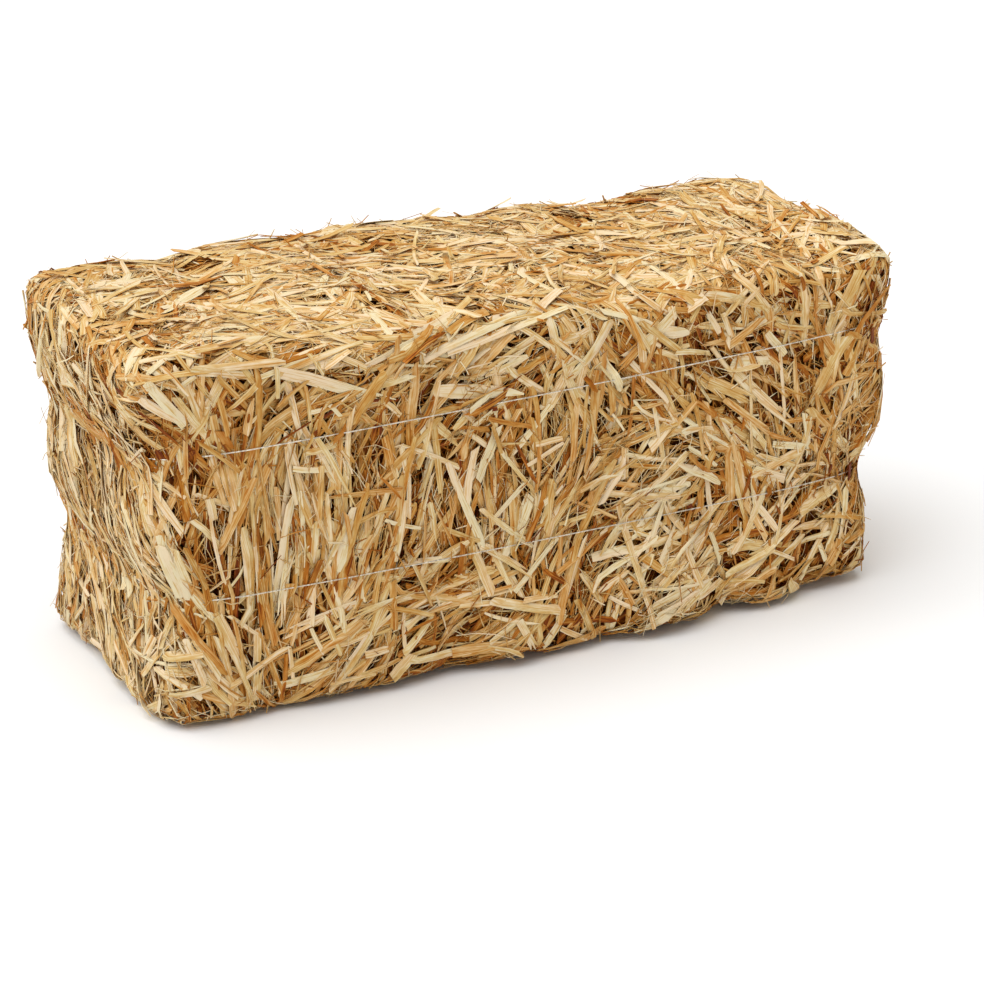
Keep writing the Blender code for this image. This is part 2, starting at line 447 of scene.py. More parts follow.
def forked():
    # split at one end into two prongs
    bar(0.24, 0.48, end=0.72)
    splitAt(0.1)
    prong(0.72, -0.5, 0.1, 0.28, -0.04, 0.25)
    prong(0.72, 0.1, 0.5, 0.2, 0.1, 0.2)
    narrow(0, 0.85, -0.05)


def frayed():
    # ends in three splinters
    bar(0.38, end=0.76)
    splitAt(-0.15, 0.2)
    prong(0.76, -0.5, -0.15, 0.14, -0.12, 0.3)
    prong(0.76, -0.15, 0.2, 0.24, 0.0, 0.2)
    prong(0.76, 0.2, 0.5, 0.18, 0.1, 0.15)


def shred():
    # a splinter with a three-sided section
    rod(3, 0.5)
    narrow(1, 0.3)
    narrow(0, 0.6)


def fibre():
    # a hair-thin thread of bark
    rod(3, 0.33, 0.66)
    narrow(1, 0.4)


def slip():
    # a plain short strip for the depths of the pile
    bar(0.5)
    narrow(1, 0.75, 0.05)


def stem():
    # a whole round stem, crushed oval, with its hollow showing at one end
    rod(8, 0.33, 0.66)
    pick(lambda at: at.x > 0.99)
    bpy.ops.mesh.inset(thickness=0.13)
    bpy.ops.transform.translate(value=(-0.12, 0, 0))


roundKinds = (shred, fibre, stem)


def selectOnly(item):
    bpy.ops.object.select_all(action="DESELECT")
    item.select_set(True)
    bpy.context.view_layer.objects.active = item


def discard(item):
    data = item.data
    bpy.data.objects.remove(item)
    bpy.data.meshes.remove(data)


def pointsOf(mesh):
    return np.array([vertex.co for vertex in mesh.vertices])


def facesOf(mesh):
    # edges, loops, and the first loop and the size of each face
    edges = np.array([edge.vertices for edge in mesh.edges])
    loops = np.array([(loop.vertex_index, loop.edge_index) for loop in mesh.loops])
    starts, sizes = np.array([(face.loop_start, face.loop_total) for face in mesh.polygons]).T
    return edges, loops, starts.copy(), sizes


def readShape(model):
    # the finished model as arrays: corners, edges, faces, and where each corner lies on the map
    model()
    bpy.ops.mesh.select_all(action="SELECT")
    bpy.ops.mesh.normals_make_consistent(inside=False)
    bpy.ops.object.mode_set(mode="OBJECT")
    made = bpy.context.object
    mesh = made.data
    points = pointsOf(mesh)
    edges, loops, starts, sizes = facesOf(mesh)
    normals = np.array([face.normal for face in mesh.polygons])
    owner = np.repeat(np.arange(len(sizes)), sizes)

    # edges that run along the straw at its rims, and those round its ends, stay crisp
    ends = points[edges]
    along = np.abs(ends[:, 0, 0] - ends[:, 1, 0]) > 0.01
    capped = np.zeros(len(edges), bool)
    capped[loops[(np.abs(normals[:, 0]) > 0.8)[owner], 1]] = True
    rim = along & (np.abs(ends[:, :, 1]).min(1) > 0.03)
    crisp = capped if model in roundKinds else capped | rim

    # on the map the narrow sides and the ends turn in a little, so that no face is a line there
    corner = points[loops[:, 0]]
    across, lengthwise = corner[:, 1].clip(-0.5, 0.5) + 0.5, corner[:, 0].copy()
    sideways = (np.abs(normals[:, 1]) > 0.7)[owner]
    endwise = (np.abs(normals[:, 0]) > 0.7)[owner]
    inwards = 0.16 * (corner[:, 2] + 0.5).clip(0, 1)
    across = np.where(sideways, np.where(across > 0.5, across - inwards, across + inwards), across)
    lengthwise = np.where(endwise, np.abs(lengthwise - 0.05 * (corner[:, 2] + 0.5)), lengthwise)
    if model in roundKinds:
        across = 0.5 + corner[:, 2].clip(-0.5, 0.5) * 0.8 + 0.1 * corner[:, 1]
    shape = {
        "points": points, "edges": edges, "loops": loops, "starts": starts, "crisp": crisp,
        "map": np.stack([lengthwise.clip(0, 1), across.clip(0, 1)], 1),
        "triangles": int((sizes - 2).sum()),
    }
    discard(made)
    return shape


# the skin that straws are laid on, and the record of how high they have piled up
pile = {
    "skinGrain": 3.2 * mm,
    "bedDepth": 10.5 * mm,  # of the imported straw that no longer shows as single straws
    "topBedDepth": 5.5 * mm,  # the top was pressed flat, so its gaps are shallow
    "bedRoughness": 1.5 * mm,
    "bedGrain": 9 * mm,
    "cell": 2 * mm,
    "room": 20 * mm,
    "wireReach": 3 * mm,  # how far from a wire's middle it holds the straw down
    "underWire": 0.9 * mm,  # from the wire's middle to the top of the straw beneath it
    "bend": 11 * mm,  # how far to each side a straw bends where it is pushed down
    "slope": 0.10,  # steepest a straw leans
    "easeBelow": 1.5 * mm,  # straws that dip below this height are eased up over the floor
}


def weld(cuts=0):
    # joins the corners that meet, and cuts each edge of the mesh into more parts
    bpy.ops.object.mode_set(mode="EDIT")
    bpy.ops.mesh.select_all(action="SELECT")
    bpy.ops.mesh.remove_doubles(threshold=0.05 * mm)
    if cuts:
        bpy.ops.mesh.subdivide(number_cuts=cuts)
    bpy.ops.object.mode_set(mode="OBJECT")


def makeSkin():
    # one closed skin over all six flakes
    bpy.ops.object.select_all(action="DESELECT")
    for name in flakes:
        copy = bpy.data.objects.new("skin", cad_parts[name].data.copy())
        bpy.context.collection.objects.link(copy)
        copy.select_set(True)
        bpy.context.view_layer.objects.active = copy
    bpy.ops.object.join()
    skin = bpy.context.object
    weld()
    remesh = skin.modifiers.new("skin", "REMESH")
    remesh.mode = "VOXEL"
    remesh.voxel_size = pile["skinGrain"]
    bpy.ops.object.modifier_apply(modifier="skin")
    smooth = skin.modifiers.new("ease", "SMOOTH")
    smooth.iterations = 2
    bpy.ops.object.modifier_apply(modifier="ease")
    mesh = bmesh.new()
    mesh.from_mesh(skin.data)
    bmesh.ops.recalc_face_normals(mesh, faces=mesh.faces[:])
    tree = BVHTree.FromBMesh(mesh)
    mesh.free()
    discard(skin)
    return tree


def cellOf(points):
    index = ((points - gridLow) / pile["cell"]).astype(int)
    return index[..., 0], index[..., 1], index[..., 2]


def pointsOnWires():
    # every millimetre along the lengthwise edges of the wires
    for name in wires:
        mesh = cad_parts[name].data
        mesh.calc_loop_triangles()
        points = pointsOf(mesh)
        for triangle in mesh.loop_triangles:
            a, b, c = points[list(triangle.vertices)]
            longest = max(np.linalg.norm(b - a), np.linalg.norm(c - b), np.linalg.norm(a - c))
            for first, last in ((a, b), (b, c), (c, a)):
                if np.linalg.norm(last - first) > longest / 2:
                    for share in np.linspace(0, 1, ceil(longest / mm) + 1):
                        yield Vector(first + (last - first) * share)


def holdUnderWires():
    # records how high above the skin each wire lies, and so how high straw may pile up there
    reach = int(pile["wireReach"] / pile["cell"]) + 1
    around = np.array(list(product(range(-reach, reach + 1), repeat=3)))
    around = around[np.linalg.norm(around, axis=1) <= reach] * pile["cell"]
    for point in pointsOnWires():
        spot, normal, _, _ = skinTree.find_nearest(point)
        top = (point - spot).dot(normal) - pile["underWire"]
        cells = cellOf(np.array(spot) + around)
        ceiling[cells] = np.minimum(ceiling[cells], top)


# how the straw lies: each side has a usual heading, and places where it gathers another way
# gathers: place along the side and up it, reach, heading in degrees from the side's first axis, and
# how much the headings differ there, all in millimetres and degrees
# how brown each side's straw is drawn: the lit top and left end are scaled paler, as painted light
usual = {"toneAndShade": 1.0, "innerTone": 1.0, "fineness": 1.0, "flatness": 0.0}
lie = {
    "front": {
        **usual,
        "axes": ((1, 0, 0), (0, 0, 1)), "at": (0, -0.5, 0), "heading": 84, "spread": 24,
        "fullness": 0.9, "hollow": 0.5, "bareShare": 0.5,
        "gathers": (
            (-228, 190, 22, -48, 16), (-232, 120, 24, -64, 14), (-225, 40, 26, 112, 22),
            (-170, 190, 24, 76, 26), (-150, 214, 40, 5, 10), (-160, 120, 34, 90, 7), (-185, 40, 26, 84, 12),
            (-120, 120, 28, 86, 8), (-120, 36, 28, 52, 14), (-105, 186, 24, 70, 26),
            (-60, 120, 26, 68, 14), (-60, 40, 24, 36, 20), (-40, 185, 26, 28, 24),
            (-40, 110, 26, 114, 16), (10, 130, 28, 70, 16), (5, 60, 26, 62, 16),
            (30, 190, 26, 128, 24), (60, 110, 24, 12, 18), (70, 40, 28, 42, 26),
            (85, 175, 26, 130, 24), (100, 60, 20, 22, 20), (120, 130, 24, 140, 18),
            (130, 80, 16, 88, 10), (165, 165, 26, 150, 26), (175, 115, 24, 120, 28),
            (175, 50, 26, 34, 26), (215, 170, 28, 74, 24), (220, 100, 26, 60, 28),
            (225, 35, 24, 48, 26), (-100, 8, 40, 6, 16), (60, 8, 40, 10, 18),
        ),
    },
    "back": {
        **usual,
        "axes": ((-1, 0, 0), (0, 0, 1)), "at": (0, 0.5, 0), "heading": 86, "spread": 26,
        "fullness": 0.85, "hollow": 0.7, "bareShare": 0.6,
        "gathers": (
            (-220, 180, 28, -50, 18), (-215, 60, 30, 70, 16), (-150, 130, 40, 92, 12),
            (-90, 50, 30, 130, 18), (-60, 170, 34, 60, 18), (0, 100, 36, 84, 12),
            (60, 170, 30, 30, 22), (80, 50, 30, 56, 18), (150, 120, 36, 98, 14),
            (215, 60, 30, 118, 18), (220, 180, 28, 62, 18),
        ),
    },
    "top": {
        "axes": ((1, 0, 0), (0, 1, 0)), "at": (0, 0, 1), "heading": 5, "spread": 42,
        # drawn paler than the front's straw: painted light where the lamp falls on the top
        "fullness": 1.1, "toneAndShade": 0.52, "innerTone": 0.7, "fineness": 1.0, "flatness": 0.6,
        "hollow": 0.05, "bareShare": 0.15,
        "gathers": (
            (-220, -20, 34, 60, 40), (-150, 40, 36, 8, 30), (-120, -60, 34, -70, 36), (-150, -95, 40, 4, 14),
            (-50, 0, 34, -60, 34), (0, 60, 34, -14, 26), (30, -50, 30, 24, 34),
            (90, 10, 34, -50, 36), (150, -50, 28, 70, 36), (150, 50, 34, -70, 30),
            (215, 0, 30, 84, 30),
        ),
    },
    "bottom": {
        **usual,
        "axes": ((1, 0, 0), (0, 1, 0)), "at": (0, 0, 0), "heading": 5, "spread": 35,
        "fullness": 0.45, "hollow": 0.0, "bareShare": 0.7,
        "gathers": (),
    },
    "left": {
        "axes": ((0, -1, 0), (0, 0, 1)), "at": (-0.5, 0, 0), "heading": 112, "spread": 20,
        # drawn paler than the front's straw: painted light where the lamp falls on the left end
        "fullness": 0.95, "toneAndShade": 0.42, "innerTone": 0.7, "fineness": 0.9, "flatness": 0.0,
        "hollow": 0.5, "bareShare": 0.5,
        "gathers": (
            (-70, 190, 26, 92, 26), (0, 195, 30, 118, 26), (70, 190, 26, 130, 20),
            (-70, 120, 26, 96, 14), (0, 130, 30, 122, 14), (70, 130, 24, 128, 16),
            (-60, 35, 26, 84, 20), (0, 60, 30, 128, 18), (75, 80, 24, 112, 18), (90, 30, 20, 30, 24),
        ),
    },
    "right": {
        **usual,
        "axes": ((0, 1, 0), (0, 0, 1)), "at": (0.5, 0, 0), "heading": 88, "spread": 24,
        "fullness": 0.9, "hollow": 0.7, "bareShare": 0.6,
        "gathers": (
            (-70, 190, 26, 120, 22), (0, 190, 30, 80, 24), (70, 190, 26, 60, 22),
            (-60, 115, 26, 76, 16), (20, 120, 30, 96, 16), (-40, 40, 28, 64, 22),
            (50, 40, 28, 112, 22),
        ),
    },
}
waver = {"size": 34 * mm, "angle": 30}  # slow change of heading everywhere
clump = {
    "size": 15 * mm,
    "bare": -0.25,  # where the noise is below this, most straws of the top layers are left out
    "deep": 2.5,  # millimetres that a patch has to sink for the same
    "deepShare": 0.75,  # of the straws that would cross it
    "hollowSize": 20 * mm,
    "hollow": 4.5 * mm,  # how much deeper the pile is pressed in the hollows between clumps
}


# Patches where the straw sinks in and is browner as painted shade, or bulges and is paler as painted light:
# place along the side and up it, reach, and depth, below zero for a bulge, all in millimetres.
patches = {
    "front": (
        (-200, 197, 6, 7), (-222, 187, 5, 5), (-186, 196, 6, 5), (-232, 150, 8, 5), (-198, 176, 5, 4),
        (-230, 212, 8, 4), (-230, 113, 8, 4), (-216, 165, 6, 3), (-188, 120, 5, 4), (-236, 57, 6, 5),
        (-230, 40, 5, 5), (-218, 72, 8, 3), (-216, 16, 10, 5), (-174, 86, 4, 5), (-209, 35, 4, 4),
        (-170, 60, 4, 4), (-146, 45, 5, 5), (-162, 26, 8, 4), (-148, 180, 5, 6), (-118, 149, 6, 5),
        (-112, 122, 5, 4), (-88, 112, 6, 5), (-80, 176, 5, 6), (-75, 88, 9, 6), (-70, 62, 6, 4),
        (-104, 38, 7, 4), (-42, 157, 5, 5), (-61, 144, 6, 4), (-28, 55, 7, 6), (-17, 103, 5, 5),
        (3, 62, 6, 4), (-14, 187, 6, 4), (13, 173, 5, 6), (96, 184, 10, 7), (83, 158, 8, 5),
        (94, 140, 8, 6), (10, 34, 6, 4), (35, 18, 7, 4), (85, 58, 6, 4), (32, 88, 5, 4),
        (126, 75, 6, 4), (147, 202, 6, 6), (117, 214, 6, 5), (185, 165, 8, 5), (178, 150, 6, 4),
        (175, 45, 9, 4), (140, 46, 6, 4), (150, 22, 8, 3), (206, 66, 6, 5), (214, 118, 7, 4),
        (196, 24, 7, 3), (166, 130, 6, 4), (-80, 13, 14, 4), (0, 10, 16, 4),
        (-132, 140, 12, -3), (-156, 95, 12, -3), (-246, 88, 14, -4), (-60, 208, 14, -3), (14, 145, 10, -3),
        (30, 186, 12, -2), (62, 56, 14, -3), (75, 120, 14, -3), (75, 25, 12, -2), (82, 92, 18, -4),
        (134, 160, 12, -4), (158, 90, 12, -4), (192, 66, 12, -3), (-48, 172, 14, -3), (-60, 100, 10, -3),
    ),
    "top": (
        (-222, 86, 10, 4), (-224, -25, 12, 4), (-152, 58, 9, 5), (-95, -55, 8, 5), (-45, 45, 10, 5),
        (-40, -72, 7, 5), (-28, 5, 7, 5), (38, 38, 7, 6), (96, 45, 12, 4), (187, -48, 11, 6),
        (218, -52, 6, 4), (72, -20, 8, 4), (145, 62, 12, 3), (165, -80, 14, 3), (-180, -25, 4, 5),
        (-181, -70, 4, 5),
    ),
    "left": (
        (-6, 138, 9, 5), (-8, 103, 11, 4), (0, 88, 10, 3), (-25, 38, 14, 4), (42, 202, 8, 4),
        (-66, 206, 8, 3), (-32, 192, 8, 3), (50, 128, 8, 3), (78, 172, 8, 3), (95, 176, 6, 3),
        (28, 30, 10, 4), (52, 65, 7, 3), (85, 58, 16, -3),
    ),
}


def sideFrame(side):
    # the middle of a side's foot, and its two directions
    first, second = (np.array(axis, float) for axis in side["axes"])
    middle = (np.array(cadLow) + np.array(cadHigh)) / 2 * (1, 1, 0)
    return middle + np.array(side["at"]) * (np.array(cadHigh) - np.array(cadLow)), first, second


def placeOn(side, along, up):
    origin, first, second = sideFrame(side)
    return origin + first * along * mm + second * up * mm


def courseOn(side, heading):
    _, first, second = sideFrame(side)
    return first * cos(radians(heading)) + second * sin(radians(heading))


def gatherTables():
    # places, headings, reaches and spreads of all gathers as arrays
    rows = []
    for side in lie.values():
        for along, up, reach, heading, spread in side["gathers"]:
            rows.append((placeOn(side, along, up), courseOn(side, heading), reach * mm, spread))
    return [np.array(column, float) for column in zip(*rows)]


def sinking(points):
    # how deep the patches press each place, in millimetres
    depth = np.zeros(len(points))
    for name, rows in patches.items():
        for along, up, reach, most in rows:
            away = np.linalg.norm(points - placeOn(lie[name], along, up), axis=1) / (reach * mm)
            depth += most * np.exp(-away**2 / 2)
    return depth


def sideOf(normals):
    # the name of the side that each normal belongs to
    names = np.array(["left", "right", "front", "back", "bottom", "top"])
    x, y, z = normals.T
    return names[np.stack([-x, x, -y, y, -z, z]).argmax(0)]


def headings(points, normals, anyhow):
    # the direction of each straw: the mean of the gathers near it, wavering, with a share laid anyhow
    places, courses, reaches, spreads = gatherTables()
    away = np.linalg.norm(points[:, None] - places[None], axis=2) / reaches
    weight = np.exp(-away**2 / 2)
    tensor = np.einsum("ng,gi,gj->nij", weight, courses, courses)
    spread = weight @ spreads
    total = weight.sum(1)
    sides = sideOf(normals)
    base = 0.08  # how much the side's own heading counts beside a gather
    for name, side in lie.items():
        own = sides == name
        course = courseOn(side, side["heading"])
        tensor[own] += base * np.outer(course, course)
        spread[own] += base * side["spread"]
        total[own] += base
    spread /= total
    flat = np.eye(3)[None] - normals[:, :, None] * normals[:, None, :]
    course = np.linalg.eigh(flat @ tensor @ flat)[1][:, :, 2]
    course *= rng.choice((-1, 1), len(points))[:, None]
    bent = np.array([noise.noise(Vector(point) / waver["size"]) for point in points]) * 2
    turn = np.radians(rng.normal(0, 1, len(points)) * spread + bent * waver["angle"])
    loose = rng.random(len(points)) < anyhow * np.clip(spread / 24, 0.3, 1.2)
    turn[loose] = rng.uniform(0, tau, loose.sum())
    across = np.cross(normals, course)
    return course * np.cos(turn)[:, None] + across * np.sin(turn)[:, None], spread


def outerFaces(name):
    # centres, normals and areas of a flake's faces that are on the bale's outside, with their corners
    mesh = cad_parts[name].data
    mesh.calc_loop_triangles()
    corners = pointsOf(mesh)[np.array([triangle.vertices for triangle in mesh.loop_triangles])]
    normal = np.cross(corners[:, 1] - corners[:, 0], corners[:, 2] - corners[:, 0])
    area = np.linalg.norm(normal, axis=1) / 2
    normal = normal / (2 * area[:, None] + 1e-12)
    outside = []
    for centre, facing in zip(corners.mean(1), normal):
        spot, skinFacing, _, away = skinTree.find_nearest(Vector(centre))
        outside.append(away < 3 * mm and Vector(facing).dot(skinFacing) > 0.7)
    outside = np.array(outside)
    return corners[outside], normal[outside], area[outside]


# Layers from the bed outwards. Lengths, widths and thicknesses in millimetres, shares by kind of straw.
# tones differ at random within a layer, and the deeper layers are browner: painted shade of the pile above
# them
layers = (
    {
        "name": "deep", "perSquareDm": 90, "kinds": {slip: 1.0},
        "length": (22, 55), "width": (2.0, 5.5), "thickness": 0.6, "tones": (0.62, 1.0), "anyhow": 0.4,
        "inner": True,
    },
    {
        "name": "middle", "perSquareDm": 120,
        "kinds": {squareCut: 0.05, slantCut: 0.15, crowned: 0.3, gutter: 0.1, pointed: 0.15, splinter: 0.15,
                  frayed: 0.1},
        "length": (22, 75), "width": (2.0, 6.0), "thickness": 0.4, "tones": (0.32, 0.8), "anyhow": 0.3,
        "leavesHoles": True, "inner": True,
    },
    {
        "name": "shreds", "perSquareDm": 170, "kinds": {shred: 1.0},
        "length": (8, 34), "width": (0.6, 1.5), "thickness": 0.5, "tones": (0.3, 0.9), "anyhow": 0.6,
        "inner": True,
    },
    {
        "name": "top", "perSquareDm": 95,
        "kinds": {squareCut: 0.04, slantCut: 0.1, crowned: 0.3, gutter: 0.18, pointed: 0.08, splinter: 0.08,
                  blade: 0.1, forked: 0.05, frayed: 0.06, stem: 0.01},
        "length": (18, 72), "width": (1.9, 6.6), "thickness": 0.35, "tones": (0.06, 0.56), "anyhow": 0.22,
        "leavesHoles": True,
    },
    {
        "name": "broad", "perSquareDm": 9, "kinds": {sheath: 0.3, forked: 0.3, slantCut: 0.2, pointed: 0.2},
        "length": (22, 58), "width": (5.5, 9.0), "thickness": 0.35, "tones": (0.0, 0.4), "anyhow": 0.3,
    },
    {
        "name": "chips", "perSquareDm": 185, "kinds": {shred: 0.85, slip: 0.15},
        "length": (6, 26), "width": (0.6, 1.8), "thickness": 0.4, "tones": (0.0, 0.6), "anyhow": 0.6,
    },
    {
        "name": "fibres", "perSquareDm": 180, "kinds": {fibre: 1.0},
        "length": (10, 38), "width": (0.35, 0.75), "thickness": 0.4, "tones": (0.0, 0.55), "anyhow": 0.7,
        "curl": 0.16,
    },
)

